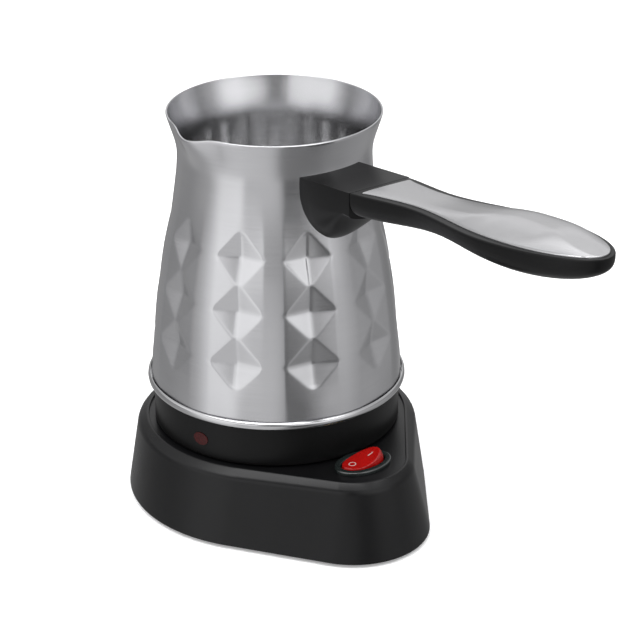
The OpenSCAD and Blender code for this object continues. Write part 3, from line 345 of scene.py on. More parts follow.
def plastic(name, color, rough, grain=0.012, grain_scale=2600, vary=0.06, **sockets):
    """Moulded plastic: fine grain, slow changes of gloss and a little of colour."""
    mat, tree, bsdf = shader(name, color, 0.0, rough, **sockets)
    fine = noise(tree, grain_scale, EVEN, 2)
    broad = noise(tree, 35, EVEN, 3)
    c = np.array(color)
    tree.links.new(tint(tree, broad, c * 0.88, np.minimum(c * 1.12, 1)), bsdf.inputs["Base Color"])
    tree.links.new(spread(tree, broad, rough - vary / 2, rough + vary / 2), bsdf.inputs["Roughness"])
    bump(tree, bsdf, fine, grain)
    return mat


def metal(name, color, rough, scale=900, vary=0.1, depth=0.003):
    """Plain worked metal with faint mottling, for pins, screws and plates."""
    mat, tree, bsdf = shader(name, color, 1.0, rough)
    fine = noise(tree, scale, EVEN, 4)
    broad = noise(tree, 120, EVEN, 3)
    c = np.array(color)
    tree.links.new(tint(tree, broad, c * 0.82, np.minimum(c * 1.06, 1)), bsdf.inputs["Base Color"])
    tree.links.new(spread(tree, fine, rough - vary / 2, rough + vary / 2), bsdf.inputs["Roughness"])
    bump(tree, bsdf, fine, depth)
    return mat


BRUSH = (0.012, 0.012, 1.0)  # lines that run round the pot
steel = brushed_steel("steel_brushed", (0.64, 0.64, 0.655), 0.235, 0.78, 4200, BRUSH, 0.001)
inner_steel = brushed_steel("steel_inside", (0.72, 0.72, 0.725), 0.2, 0.7, 4200, BRUSH, 0.001)
floor_steel = brushed_steel("steel_floor", (0.82, 0.82, 0.825), 0.25, 0.3, 1800, EVEN, 0.002, False)
polished = brushed_steel("steel_polished", (0.62, 0.62, 0.63), 0.16, 0.2, 1500, BRUSH, 0.001, False)
weld_steel = metal("steel_plain", (0.55, 0.55, 0.56), 0.38)
alloy = metal("alloy_cast", (0.62, 0.62, 0.63), 0.5, 1400, 0.14, 0.01)
sheath = metal("sheath_dark", (0.3, 0.29, 0.28), 0.46, 1100, 0.16, 0.008)
screw_metal = metal("screw_zinc", (0.66, 0.67, 0.68), 0.3, 1500)
brass = metal("contact_brass", (0.72, 0.52, 0.22), 0.3, 1100)
black = plastic("plastic_black", (0.004, 0.004, 0.0044), 0.3, Specular_IOR_Level=0.3)
collar_black = plastic("plastic_collar", (0.003, 0.003, 0.0031), 0.38, Specular_IOR_Level=0.2)
handle_black = plastic("plastic_handle", (0.0032, 0.0032, 0.0034), 0.34, Specular_IOR_Level=0.2)
cover_black = plastic("plastic_cover", (0.012, 0.012, 0.0125), 0.6, 0.02)
white = plastic("plastic_white", (0.72, 0.7, 0.65), 0.45, 0.01)
rubber = plastic("rubber_grey", (0.05, 0.05, 0.052), 0.78, 0.03, 1900)
silicone = plastic("seal_white", (0.62, 0.6, 0.57), 0.6, 0.02)
bezel_grey = plastic("plastic_bezel", (0.01, 0.0135, 0.013), 0.2, Specular_IOR_Level=0.9)
insulation = plastic("lead_sleeve", (0.6, 0.57, 0.5), 0.65, 0.04, 1700)
ceramic = plastic("fuse_ceramic", (0.62, 0.6, 0.54), 0.5, 0.02)
lamp_glass = plastic("lamp_glass", (0.7, 0.16, 0.08), 0.15, 0.001)
rocker_red = plastic("plastic_red", (0.33, 0.003, 0.002), 0.24, 0.004, 2200, 0.08, Coat_Weight=0.2,
                     Coat_Roughness=0.12, Subsurface_Weight=0.12,
                     Subsurface_Radius=(0.004, 0.0006, 0.0004))
lens_red = plastic("lens_red", (0.032, 0.002, 0.002), 0.25, 0.002, 2200, 0.06, Specular_IOR_Level=0.25)
mark_white = plastic("mark_white", (0.5, 0.4, 0.38), 0.5, 0.004)


def insert_finish():
    """Satin silver lacquer with a faint grain along the handle."""
    mat, tree, bsdf = shader("insert_satin", (0.5, 0.5, 0.51), 0.85, 0.22, Coat_Weight=0.15,
                             Coat_Roughness=0.2)
    fine = noise(tree, 2400, (0.25, 1, 1), 3)
    flake = noise(tree, 5200, EVEN, 2)
    tree.links.new(tint(tree, flake, (0.46, 0.46, 0.47), (0.55, 0.55, 0.56)), bsdf.inputs["Base Color"])
    tree.links.new(spread(tree, fine, 0.2, 0.25), bsdf.inputs["Roughness"])
    bump(tree, bsdf, fine, 0.002)
    return mat


insert_satin = insert_finish()

# ---------------------------------------------------------------- pot wall


def wall_r(h):
    """The wall's outer radius at height h above its foot."""
    return np.where(
        h < SHOULDER_H,
        cubic(h, 0, FOOT_R, FOOT_SLOPE, SHOULDER_H, SHOULDER_R, SHOULDER_SLOPE),
        np.where(
            h < NECK_H,
            cubic(h, SHOULDER_H, SHOULDER_R, SHOULDER_SLOPE, NECK_H, NECK_R, 0),
            cubic(h, NECK_H, NECK_R, 0, WALL_H, RIM_R, RIM_SLOPE),
        ),
    )


# Roundings of the pressed creases, as shares of a dimple's half width, half height and
# depth; the factor that makes up for the depth they take; and the millimetres over which
# the columns fade out at both ends
COL_SOFT, ROW_SOFT, OUTLINE_SOFT, DEPTH_MORE, END_FADE = 0.06, 0.045, 0.04, 1.03, 1.5


def wall_points(az, h, t):
    """Points of the wall at directions az and heights h, moved in by t; the pressed
    creases are rounded by a few tenths of a millimetre."""
    off_col = (az % PITCH) - PITCH / 2
    inside = (h > EMBOSS_Z) & (h < EMBOSS_TOP)
    off_row = (h - EMBOSS_Z) % EMBOSS_H - EMBOSS_H / 2
    across = soft_abs(off_col / DIMPLE_HALF, COL_SOFT)
    left = 1 - across - soft_abs(off_row / (EMBOSS_H / 2), ROW_SOFT)
    depth = DEPTH * DEPTH_MORE * 0.5 * (left + np.sqrt(left * left + OUTLINE_SOFT**2))
    ends = smooth(np.minimum(h - EMBOSS_Z, EMBOSS_TOP - h) / END_FADE)
    depth = np.where(inside, depth * ends, 0)
    k = (
        PANEL_FLAT
        * (1 - smooth((h - EMBOSS_TOP + EMBOSS_H / 2) / EMBOSS_H))
        * (PANEL_FOOT + (1 - PANEL_FOOT) * smooth((h - PANEL_START) / EMBOSS_Z))
    )
    d = np.abs(off_col)
    flat = np.where(
        d < DIMPLE_HALF,
        1 - k + k * math.cos(math.radians(DIMPLE_HALF)) / np.cos(np.radians(d)),
        1,
    )
    lip = smooth(1 - np.abs(az - LIP_AZ) / LIP_HALF) ** 1.3 * smooth((h - WALL_H + LIP_H) / LIP_H) ** 2
    r = (wall_r(h) - depth) * flat + LIP_OUT * lip - t
    a = np.radians(az)
    return np.stack([r * np.cos(a), r * np.sin(a), FOOT_Z + h - LIP_DIP * lip + 0 * r], -1)


CELLS = 14  # steps across half a dimple
dirs = np.concatenate([
    c * PITCH + PITCH / 2 + np.concatenate([
        np.linspace(-PITCH / 2, -DIMPLE_HALF, 4, endpoint=False),
        np.linspace(-DIMPLE_HALF, DIMPLE_HALF, 2 * CELLS, endpoint=False),
        np.linspace(DIMPLE_HALF, PITCH / 2, 4, endpoint=False),
    ])
    for c in range(COLS)
])
outward = np.stack([np.cos(np.radians(dirs)), np.sin(np.radians(dirs)), 0 * dirs], -1)
levels = np.concatenate([
    np.linspace(0, EMBOSS_Z, 8, endpoint=False),
    np.linspace(EMBOSS_Z, EMBOSS_TOP, 2 * CELLS * ROWS, endpoint=False),
    np.linspace(EMBOSS_TOP, WALL_H - WALL_T / 2, 30),
])


def build_wall():
    """The wall as one closed shell: up the outside, over the rim and down the inside."""
    loops, heights = [], []
    for h in levels:
        loops.append(wall_points(dirs, np.full_like(dirs, h), 0))
        heights.append(h)
    # The sheet's edge is rounded over
    middle = wall_points(dirs, np.full_like(dirs, levels[-1]), WALL_T / 2)
    for a in np.radians(np.linspace(0, 180, 9)[1:-1]):
        around_edge = math.cos(a) * outward + math.sin(a) * np.array([0, 0, 1.0])
        loops.append(middle + WALL_T / 2 * around_edge)
        heights.append(WALL_H)
    for h in levels[::-1]:
        loops.append(wall_points(dirs, np.full_like(dirs, h), WALL_T))
        heights.append(h)
    m, n = len(dirs), len(loops)
    verts = [tuple(p) for loop in loops for p in loop]
    faces = []
    for i in range(n):
        here, after = heights[i], heights[(i + 1) % n]
        low = min(here, after)
        pressed = EMBOSS_Z - 0.01 < low < EMBOSS_TOP - 0.01 and abs(here - after) < 2
        up = after > here
        for j in range(m):
            a, b = i * m + j, i * m + (j + 1) % m
            c, d = (i + 1) % n * m + (j + 1) % m, (i + 1) % n * m + j
            if not pressed:
                faces.append((a, b, c, d))
                continue
            # The diagonal follows the diamond's edge
            h_mid = low + EMBOSS_H / CELLS / 4
            az_mid = dirs[j] % PITCH + 0.1
            in_low = (h_mid - EMBOSS_Z) % EMBOSS_H < EMBOSS_H / 2
            in_left = az_mid < PITCH / 2
            if (in_low != in_left) == up:
                faces += [(a, b, c), (a, c, d)]
            else:
                faces += [(a, b, d), (b, c, d)]
    return verts, faces


pot_wall = piece("pot_wall", build_wall(), steel, "pot", ["pot_body"], 60)


def shine_inside(obj, up_to):
    """The inside below height up_to keeps its mill polish, where the rest is brushed."""
    obj.data.materials.append(inner_steel)
    for face in obj.data.polygons:
        x, y, z = face.center * 1000
        inward = face.normal.dot(Vector((x - AXIS_X * 1000, y, 0))) < 0
        face.material_index = int(inward and z < up_to)


shine_inside(pot_wall, FOOT_Z + NECK_H + 2)


def build_bottom():
    """The pot's floor: a fillet that overlaps the wall's inside all round, a raised plate
    in the middle and a flange below."""
    fillet, overlap, plate_r, plate_up = 4.0, 0.15, 30.6, 0.6
    loops = []
    for a in np.radians(np.linspace(0, 90, 9)):
        h = FLOOR_TOP - FOOT_Z + fillet * (1 - math.sin(a))
        at = wall_points(dirs, np.full_like(dirs, h), WALL_T - overlap)
        loops.append(at - outward * fillet * (1 - math.cos(a)))
    top = [(40, 0), (plate_r + 2.9, 0), (plate_r + 2, 0.15), (plate_r + 1, 0.5), (plate_r, plate_up),
           (20, plate_up), (8, plate_up), (0.01, plate_up)]
    flange = -FLOOR_T - FLANGE_DROP
    under = [(0.01, -FLOOR_T), (30, -FLOOR_T), (45.4, -FLOOR_T), (46.1, -FLOOR_T - 0.7),
             (FLOOR_R - FLOOR_T, flange), (FLOOR_R, flange), (FLOOR_R, 2)]
    for r, z in top + under:
        loops.append(outward * r + np.array([0, 0, FLOOR_TOP + z]))
    return loops_to_mesh(loops, closed=True)


piece("pot_bottom", build_bottom(), floor_steel, "pot", ["pot_floor"], 40)

# ---------------------------------------------------------------- polished ring


def build_ring():
    """The ring's rounded bead, with a flat lip that runs in under the pot's foot."""
    bead, inner, lip, top = 1.17, 45.5, RING_Z + RING_LIP_T, RING_Z + RING_H
    profile = [(inner, RING_Z), (RING_R - bead, RING_Z)]
    profile += [
        (RING_R - bead + bead * math.cos(a), RING_Z + RING_H / 2 * (1 + math.sin(a)))
        for a in np.radians(np.linspace(-80, 80, 21))
    ]
    profile += [(49.2, top - 0.1), (49.05, top - 0.5), (48.95, lip), (inner, lip)]
    return lathe(profile)


piece("foot_ring", build_ring(), polished, "pot", ["trim_ring"], 40)

# ---------------------------------------------------------------- base


def drop(z, big, small, n_corner=72, n_round=200):
    """The base's outline: a round end of radius big and a corner of radius small."""
    a = math.degrees(math.acos((big - small) / CORNER_X))
    at = [(CORNER_X + small * math.cos(t), small * math.sin(t)) for t in
          np.radians(a - 2 * a * np.arange(n_corner + 1) / n_corner)]
    at += [(big * math.cos(t), big * math.sin(t)) for t in
           np.radians(-a - (360 - 2 * a) * np.arange(n_round + 1) / n_round)]
    return np.array([(x, y, z) for x, y in at])


def build_base():
    """The housing as one closed shell; each key is a height, the two radii and a fillet."""
    keys = [
        (ROOF_Z, SHOULDER_BIG - BASE_T, SHOULDER_SMALL - BASE_T, 0),
        (BASE_Z, BASE_R - BASE_T, CORNER_R - BASE_T, 0.3),
        (BASE_Z, BASE_R, CORNER_R, 0.9),
        (SHOULDER_Z, SHOULDER_BIG, SHOULDER_SMALL, 1.5),
        (BASE_TOP, EDGE_BIG, EDGE_SMALL, 0.55),
        (BASE_TOP, EDGE_BIG - DECK_INSET, EDGE_SMALL - DECK_INSET, 0.3),
        (DECK_Z, EDGE_BIG - DECK_INSET, EDGE_SMALL - DECK_INSET, 0),
    ]
    loops = [drop(*k) for k in fillets(keys)]
    last = loops[-1]
    turn = np.arctan2(last[:, 1], last[:, 0])

    def circle(r, z):
        return np.stack([r * np.cos(turn), r * np.sin(turn), np.full_like(turn, z)], -1)

    hub = fillets([
        (HUB_R, DECK_Z, 0), (HUB_R, HUB_Z, 0.8), (BORE_R, HUB_Z, 0.5), (BORE_R, HUB_UNDER, 0),
        (HUB_R - BASE_T, HUB_UNDER, 0), (HUB_R - BASE_T, ROOF_Z, 0),
    ])
    loops += [circle(r, z) for r, z in hub]
    return loops_to_mesh(loops, closed=True)


base_shell = piece("base_shell", build_base(), black, "base", ["base_housing"], 30, tidy=False)
PAST_DECK, WITHIN, BEYOND = 3, -45, -70  # where the cutters end, clear of the shell
cut(base_shell, oval_prism(SWITCH_X, SWITCH_HOLE_W, SWITCH_HOLE_L, ROOF_Z - PAST_DECK,
                           DECK_Z + PAST_DECK), angle=30)
cut(base_shell, bar_x(GLAND_SEAT_X, BEYOND, GLAND_Z, GLAND_SEAT_R), angle=30)
cut(base_shell, bar_x(WITHIN, BEYOND, GLAND_Z, GLAND_HOLE_R), angle=30)

# ---------------------------------------------------------------- switch


def build_bezel():
    """The switch's frame: the body in the deck's hole, its oval bezel and the opening."""
    n, top = 96, DECK_Z + BEZEL_H
    keys = fillets([
        (FRAME_W, FRAME_L, FRAME_LOW, 0), (FRAME_W, FRAME_L, DECK_Z, 0),
        (BEZEL_W, BEZEL_L, DECK_Z + 0.02, 0.1), (BEZEL_W, BEZEL_L, top, 0.75),
        (OPENING_W, OPENING_L, top, 0.45), (OPENING_W, OPENING_L, FRAME_FLOOR, 0),
    ])
    loops = [[(SWITCH_X + w * math.cos(a), l * math.sin(a), z) for a in turns(n)] for w, l, z in keys]
    loops += [[(SWITCH_X, 0, FRAME_FLOOR)] * n, [(SWITCH_X, 0, FRAME_LOW)] * n]
    return loops_to_mesh(loops, closed=True)


switch_bezel = piece("switch_bezel", build_bezel(), bezel_grey, "base", ["switch_frame"], 35)
cut(switch_bezel, bar_x(SWITCH_X - AXLE_BORE_HALF, SWITCH_X + AXLE_BORE_HALF, PIVOT_Z, AXLE_BORE_R),
    angle=35)


def on_axle(points):
    """From the rocker's own frame, about its axle, to its place at rest."""
    p = np.array(points, float)
    c, s = math.cos(math.radians(LEAN)), math.sin(math.radians(LEAN))
    y, z = p[:, 1] * c - p[:, 2] * s, p[:, 1] * s + p[:, 2] * c
    return np.stack([p[:, 0] + SWITCH_X, y, z + PIVOT_Z], -1)


def dish(y):
    """Height of the dished top above the axle, at y along the rocker."""
    return ROCKER_H + DISH_R - math.sqrt(DISH_R**2 - y * y)


def rim_y(x):
    """Where the dished top meets the rocker's turned side, at x across it."""
    rho = ROCKER_L * math.sqrt(max(0, 1 - (x / ROCKER_W) ** 2))
    low, high = 0.0, rho
    for _ in range(40):
        mid = (low + high) / 2
        if mid * mid + dish(mid) ** 2 < rho * rho:
            low = mid
        else:
            high = mid
    return low


def build_rocker():
    """The rocker from the middle of its top, over the rim, to its underside."""
    half = ROCKER_W * math.sqrt(1 - (ROCKER_H / ROCKER_L) ** 2) - 1e-4
    n = 60
    xs = [half * math.cos(a) for a in turns(n)]
    signs = [1 if k <= n // 2 else -1 for k in range(n)]
    rim = [(x, s * rim_y(x)) for x, s in zip(xs, signs)]
    loops = []
    for f in (0.002, 0.25, 0.5, 0.75, 0.9):
        loops.append([(x * f, y * f, dish(y * f)) for x, y in rim])
    loops.append([(x, y, dish(y)) for x, y in rim])
    # Down the turned side at constant x, to the rocker's flat underside
    for f in np.linspace(0, 1, 13)[1:]:
        ring = []
        for x, y in rim:
            top = math.atan2(dish(y), abs(y))
            rho = math.hypot(y, dish(y))
            low = -math.asin(min(1, ROCKER_UNDER / rho))
            a = top + (low - top) * f
            along = math.copysign(rho * math.cos(a), y) if abs(y) > 1e-9 else 0.0
            ring.append((x, along, rho * math.sin(a)))
        loops.append(ring)
    loops.append([(0, 0, -ROCKER_UNDER)] * n)
    verts, faces = loops_to_mesh(loops)
    return [tuple(p) for p in on_axle(verts)], faces


rocker = piece("rocker_red", build_rocker(), rocker_red, "rocker", ["switch_rocker"], 40)
ROCKER_EDGE = 0.35
round_edges(rocker, ROCKER_EDGE, 40, 3)

# The two marks: half their size, their thickness, the widths of their lines and their places
MARK_HALF, MARK_T, OFF_LINE, ON_R = 1.1, 0.05, 0.32, 0.18
OFF_Y, ON_Y = -4.4, 4.2


def slot_outline(half, r):
    """An outline at r round a line along Y that reaches half to each side."""
    return [(r * math.cos(a), (half if math.sin(a) > 0 else -half) + r * math.sin(a))
            for a in turns(48)]


def mark(name, inner, outer, y0):
    """A printed mark on the dished top: a thin raised band between two outlines."""
    loops = []
    for lift, outline in ((0, outer), (MARK_T, outer), (MARK_T, inner), (0, inner)):
        loops.append([(x, y + y0, dish(y + y0) + lift) for x, y in outline])
    verts, faces = loops_to_mesh(loops, closed=True)
    placed = [tuple(p) for p in on_axle(verts)]
    piece(name, (placed, faces), mark_white, "rocker", angle=30)


mark("mark_off", slot_outline(0, MARK_HALF), slot_outline(0, MARK_HALF + OFF_LINE), OFF_Y)
mark("mark_on", slot_outline(MARK_HALF, 0.01), slot_outline(MARK_HALF, ON_R), ON_Y)

# ---------------------------------------------------------------- handle


SEAM_SLOPE = -0.04  # how fast the neck's half width shrinks at the seam
THIN_X, THICK_X = WAIST_X + 20, PALM_X + 12  # where the grip is thinnest, and thickest
END_DROP, END_T_SHARE = 0.5, 0.22  # drop of the top edge at the end, thickness left there
# In this script the rim gets wider beside the palm than in the source, and the insert
# starts further from the shield, as in the photograph
RIM_MORE, RIM_RISE, RIM_END, RIM_FALL = 1.1, 10, 98, 30
INSERT_START = SEAM_X + 4


def top_z(x):
    """Height of the handle's top edge, which drops a little at the end of the palm."""
    end = max(0, (x - SEAM_X - PALM_X) / (GRIP_LEN - PALM_X))
    return HANDLE_Z + (x - SEAM_X) * TILT - END_DROP * end**3


def half_w(x, i):
    """Half the grip's width at x, seen from above, inside its outline by i."""
    u = x - SEAM_X
    if u < WAIST_X:
        return cubic(u, 0, SEAM_W, SEAM_SLOPE, WAIST_X, WAIST_W, 0) - i
    if u < PALM_X:
        return cubic(u, WAIST_X, WAIST_W, 0, PALM_X, PALM_W, 0) - i
    return (PALM_W - i) * math.sqrt(max(0, 1 - ((u - PALM_X) / (GRIP_LEN - PALM_X - i)) ** 2))


def grip_t(x):
    """The grip's thickness at x."""
    u = x - SEAM_X
    if u < THIN_X:
        return cubic(u, 0, SEAM_T, 0, THIN_X, WAIST_T, 0)
    if u < THICK_X:
        return cubic(u, THIN_X, WAIST_T, 0, THICK_X, PALM_T, 0)
    end = math.sqrt(max(0, 1 - ((u - THICK_X) / (GRIP_LEN - THICK_X)) ** 2))
    return PALM_T * (END_T_SHARE + (1 - END_T_SHARE) * end)


def rim_w(x):
    """Width of the grip's rim round the insert."""
    u = x - SEAM_X
    return RIM_W + RIM_MORE * float(smooth(u / RIM_RISE) * smooth((RIM_END - u) / RIM_FALL))


def places(first, i):
    """Places along the handle, from first to i before its end, close together at the end."""
    neck, end = 40, 30
    palm, length = SEAM_X + PALM_X, GRIP_LEN - PALM_X - i
    return [first + (palm - first) * k / neck for k in range(neck)] + [
        palm + length * math.sin(math.radians(90 * k / end)) for k in range(end + 1)
    ]


# How far the grip's rounded upper edge comes down its side, and the pocket for the insert
EDGE_DROP, POCKET_DEPTH, POCKET_STEP = 1.2, 1.4, 0.001


def grip_section(x, pocket, pocket_end):
    """The grip cut across at x, with or without the pocket."""
    e = max(0, x - GRIP_END + EDGE_DROP) / EDGE_DROP
    k = math.sqrt(max(0.01, 1 - e * e))
    w, z = max(0.4, half_w(x, 0)), top_z(x)
    under = [
        (x, w * math.cos(a), z - k * (EDGE_DROP + (grip_t(x) - EDGE_DROP) * math.sin(a) ** 0.7))
        for a in np.radians(np.linspace(0, 180, 37))
    ]
    reach = half_w(x, rim_w(x)) if x < pocket_end else 0
    inner = max(0.05, min(reach, w - 0.82 if w > 1.7 else w * 0.3))
    # Places across and below the top edge: round the edge, over the rim, into the pocket
    side = [
        (w, 0.6 * k), (w - min(0.15, w / 4), 0.25 * k), (w - min(0.45, w / 2), 0.03),
        (w - min(0.8, w * 0.6), 0), (inner + 0.02, 0), (inner, 0.08 if pocket else 0),
        (inner, POCKET_DEPTH if pocket else 0),
    ]
    left = [(x, -y, z - d) for y, d in side]
    right = [(x, y, z - d) for y, d in reversed(side)]
    return under + left + right


def build_grip():
    """The grip, with a pocket that starts and ends in an upright step."""
    pocket_end = GRIP_END - RIM_W
    stations = places(SEAM_X + 0.3, 0) + places(INSERT_START, RIM_W)
    loops = []
    for x in sorted({round(x, 5) for x in stations}):
        if x > GRIP_END:
            continue
        if abs(x - INSERT_START) < 1e-4:
            loops.append(grip_section(x, False, pocket_end))
            loops.append(grip_section(x + POCKET_STEP, True, pocket_end))
        elif abs(x - pocket_end) < 0.02:
            loops.append(grip_section(x, True, pocket_end))
            loops.append(grip_section(x + POCKET_STEP, False, pocket_end))
        else:
            loops.append(grip_section(x, INSERT_START < x < pocket_end, pocket_end))
    return loops_to_mesh(loops, caps=True)


piece("grip_black", build_grip(), handle_black, "pot", ["handle_grip"], 38)

# The insert's gap to the pocket, how far it goes down and stands up from the grip's top
# edge, and its edge's rounding; then the dome's height at the neck and its end's length
INSERT_GAP, INSERT_DOWN, INSERT_UP, INSERT_EDGE = 0.15, 1.25, 0.5, 0.25
DOME_LOW, DOME_FALL = 0.2, 30
# The palm's ridge: distance from the seam, and place across from -1 to 1
RIDGE_U = [50, 57, 64, 73, 86, 97, 108, 116]
RIDGE_S = [-0.5, -0.4, 0, 0.15, 0.1, -0.15, -0.5, -0.7]
RIDGE_SOFT = 0.05


def dome(x):
    """How high the insert's middle stands at x."""
    rise = smooth((x - SEAM_X - WAIST_X) / (PALM_X - WAIST_X))
    fall = smooth((GRIP_END + 2 - x) / DOME_FALL)
    return DOME_LOW + (DOME_H - DOME_LOW) * rise * fall


def crown(s, x):
    """Share of the dome's height at s across the insert: a soft ridge runs down the palm,
    with a nearly level far side and a near side that slopes to the rim."""
    ridge = np.interp(x - SEAM_X, RIDGE_U, RIDGE_S)
    if s > ridge:
        return 1 - ((s - ridge) / (1 - ridge)) ** 5
    t = soft_abs((ridge - s) / (1 + ridge), RIDGE_SOFT)
    return max(0.0, 1 - (0.5 * t + 0.55 * t**2.2))


def build_insert():
    """The insert in its pocket, with a small rounded edge."""
    n = 56
    loops = []
    for x in places(INSERT_START + INSERT_GAP, RIM_W + INSERT_GAP):
        w, z = max(0.4, half_w(x, rim_w(x) + INSERT_GAP)), top_z(x)
        d = dome(x) * smooth(w / 9)
        low, side = z - INSERT_DOWN, z + INSERT_UP - INSERT_EDGE
        loop = [(x, w, low), (x, -w, low), (x, -w, side)]
        for k in range(n + 1):
            s = -1 + 2 * k / n
            edge = max(0, (abs(s) * w - (w - INSERT_EDGE)) / INSERT_EDGE) ** 2
            loop.append((x, w * s, z + INSERT_UP + d * crown(s, x) - INSERT_EDGE * edge))
        loops.append(loop)
    return loops_to_mesh(loops, caps=True)


piece("insert_silver", build_insert(), insert_satin, "pot", ["handle_insert"], 40)

# The bow of the shield's underside at the wall and at the seam, where the core it is cut
# to starts, the gap between the two, and the rounding of the shield's edges
WALL_BOW, SEAM_BOW, CORE_FOOT, CORE_GAP, SHIELD_EDGE = 19, 3, 61.5, 0.12, 0.7


def build_shield():
    """The shield from inside the wall to the seam: deep at the wall, as thin as the grip at
    the seam, with an underside bowed across."""
    n, steps = 48, 44
    near, far, start = NECK_R + 3, SEAM_X - 4, NECK_R - 6
    loops = []
    for i in range(steps + 1):
        x = start + (SEAM_X - start) * i / steps
        t = min(1, max(0, (x - near) / (far - near)))
        low = HANDLE_Z - SHIELD_H + (SHIELD_H - SEAM_T) * t**1.3
        bow, z = WALL_BOW * (1 - t) + SEAM_BOW * t, top_z(x)
        under = [(x, SEAM_W * math.cos(a), min(z - 1, low + bow * (1 - math.sin(a))))
                 for a in np.radians(np.linspace(0, 180, n + 1))]
        loops.append(under + [(x, -SEAM_W, z), (x, SEAM_W, z)])
    return loops_to_mesh(loops, caps=True)


def build_core():
    """What the shield is cut to: the round outside of the wall with a small gap."""
    outside = [(float(wall_r(h)) + CORE_GAP, FOOT_Z + h) for h in np.linspace(CORE_FOOT, WALL_H, 40)]
    return lathe([(0.01, FOOT_Z + CORE_FOOT)] + outside + [(0.01, FOOT_Z + WALL_H)])


shield = piece("shield_black", build_shield(), handle_black, "pot", ["handle_shield"], 30)
cut(shield, build_core(), angle=30)
round_edges(shield, SHIELD_EDGE, 38, 4)

# Left out of mirror reflections, because their images in the steel differed from those in
# the photograph
for unmirrored in (rocker, shield, nodes["handle_bracket"], nodes["handle_screw"]):
    unmirrored.visible_glossy = False

# ---------------------------------------------------------------- finishes of the kept nodes

FINISH = {
    "collar_seal": silicone, "heat_spreader": alloy, "heating_element": sheath,
    "element_pins": screw_metal, "thermostat": alloy, "thermal_fuse": ceramic,
    "pot_leads": insulation, "upper_connector": white, "live_ring": brass,
    "neutral_ring": brass, "earth_pin": brass, "connector_screws": screw_metal,
    "floor_studs": weld_steel, "collar": collar_black, "collar_screws": screw_metal,
    "indicator_lens": lens_red, "indicator_lamp": lamp_glass, "lamp_leads": insulation,
    "handle_bracket": weld_steel, "handle_screw": screw_metal, "base_cover": cover_black,
    "rubber_feet": rubber, "cover_screws": screw_metal, "coupling_body": white,
    "live_contact": brass, "neutral_contact": brass, "earth_contact": brass,
    "coupling_screws": screw_metal, "coupling_cap": bezel_grey, "switch_terminals": brass,
    "contact_bridge": brass, "rocker_plunger": white, "base_leads": insulation,
    "cord_gland": rubber, "cord_clamp": bezel_grey, "clamp_screws": screw_metal,
}
for node, finish in FINISH.items():
    for holder in nodes[node].material_slots:
        holder.material = finish

# ---------------------------------------------------------------- floor, light and camera

CAMERA_AZ = math.radians(-35)
COOL = 1.005  # blue of the studio's light, against its red and green
BACKGROUND, FLOOR_WHITE = (0.93, 0.93, 0.935), 0.25

# The studio's soft panels, in rings round the pot from the lowest to the highest. Each stop
# is a direction, in degrees from the camera's as seen from the pot, and a level.
DEEP = [
    (-180, 0.4), (-125, 0.45), (-100, 0.42), (-84, 0.5), (-66, 0.78), (-40, 0.74), (-15, 0.7),
    (-3, 0.63), (5, 0.45), (10, 0.27), (57, 0.2), (70, 0.27), (92, 0.3), (112, 0.36), (180, 0.4),
]
LOW = [
    (-180, 0.18), (-150, 0.34), (-112, 0.32), (-82, 0.45), (-73, 0.64), (-64, 0.98), (-39, 1.1),
    (-34, 0.64), (-4, 0.7), (6, 0.62), (11, 0.12), (28, 0.12), (36, 0.36), (43, 0.56), (66, 0.6),
    (78, 0.47), (100, 0.43), (118, 0.36), (140, 0.24), (160, 0.38), (180, 0.18),
]
OVER = [
    (-180, 0.68), (-160, 0.6), (-145, 0.3), (-92, 0.3), (-82, 0.45), (-66, 1.25), (-28, 1.3),
    (-19, 1.2), (-13, 0.15), (8, 0.15), (16, 0.62), (24, 0.85), (40, 1.4), (56, 1.35), (74, 0.5),
    (92, 0.3), (130, 0.3), (150, 0.55), (180, 0.68),
]
HIGH = [
    (-180, 1.15), (-168, 1.1), (-157, 0.75), (-129, 0.6), (-105, 1.0), (-62, 1.45), (-18, 1.4),
    (-11, 1.2), (-6, 0.2), (4, 0.2), (9, 1.2), (20, 1.5), (58, 1.5), (80, 0.7), (110, 0.6),
    (140, 0.7), (168, 1.1), (180, 1.15),
]
UPPER = [
    (-180, 0.62), (-165, 0.5), (-130, 0.5), (-90, 1.1), (-60, 0.8), (-25, 0.35), (-3, 0.35),
    (22, 1.1), (60, 1.0), (100, 0.6), (140, 0.6), (165, 0.7), (180, 0.62),
]
CREST = [
    (-180, 1.6), (-165, 1.1), (-130, 0.6), (-90, 1.1), (-60, 0.8), (-25, 0.35), (-3, 0.35),
    (22, 1.1), (60, 1.0), (100, 0.6), (140, 0.6), (165, 1.5), (180, 1.6),
]
# The rings above the lowest, each with the heights on a unit sphere over which it takes over
RISING = [(LOW, -0.56, -0.42), (OVER, -0.02, 0.15), (HIGH, 0.29, 0.33), (UPPER, 0.38, 0.45),
          (CREST, 0.5, 0.58)]
# The long lamp overhead: its level, how far its middle line leans to the camera, the half
# widths where it starts and stops fading, and the heights between which it sets in
STRIP, STRIP_X, STRIP_CORE, STRIP_EDGE, STRIP_START, STRIP_FULL = 4.6, 0.32, 0.2, 0.32, 0.7, 0.82
AIM = (-0.03, 0, 0.08)  # metres; the two lamps face this place, halfway up near the pot


def ramp(tree, turn, stops):
    """The grey levels of a ring of panels, by the share of a full turn."""
    node = tree.nodes.new("ShaderNodeValToRGB")
    elements = node.color_ramp.elements
    for degrees, level in stops[2:]:
        elements.new((degrees + 180) / 360)
    for element, (degrees, level) in zip(elements, stops):
        element.position = (degrees + 180) / 360
        element.color = (level, level, level * COOL, 1)
    tree.links.new(turn, node.inputs["Fac"])
    return node.outputs["Color"]


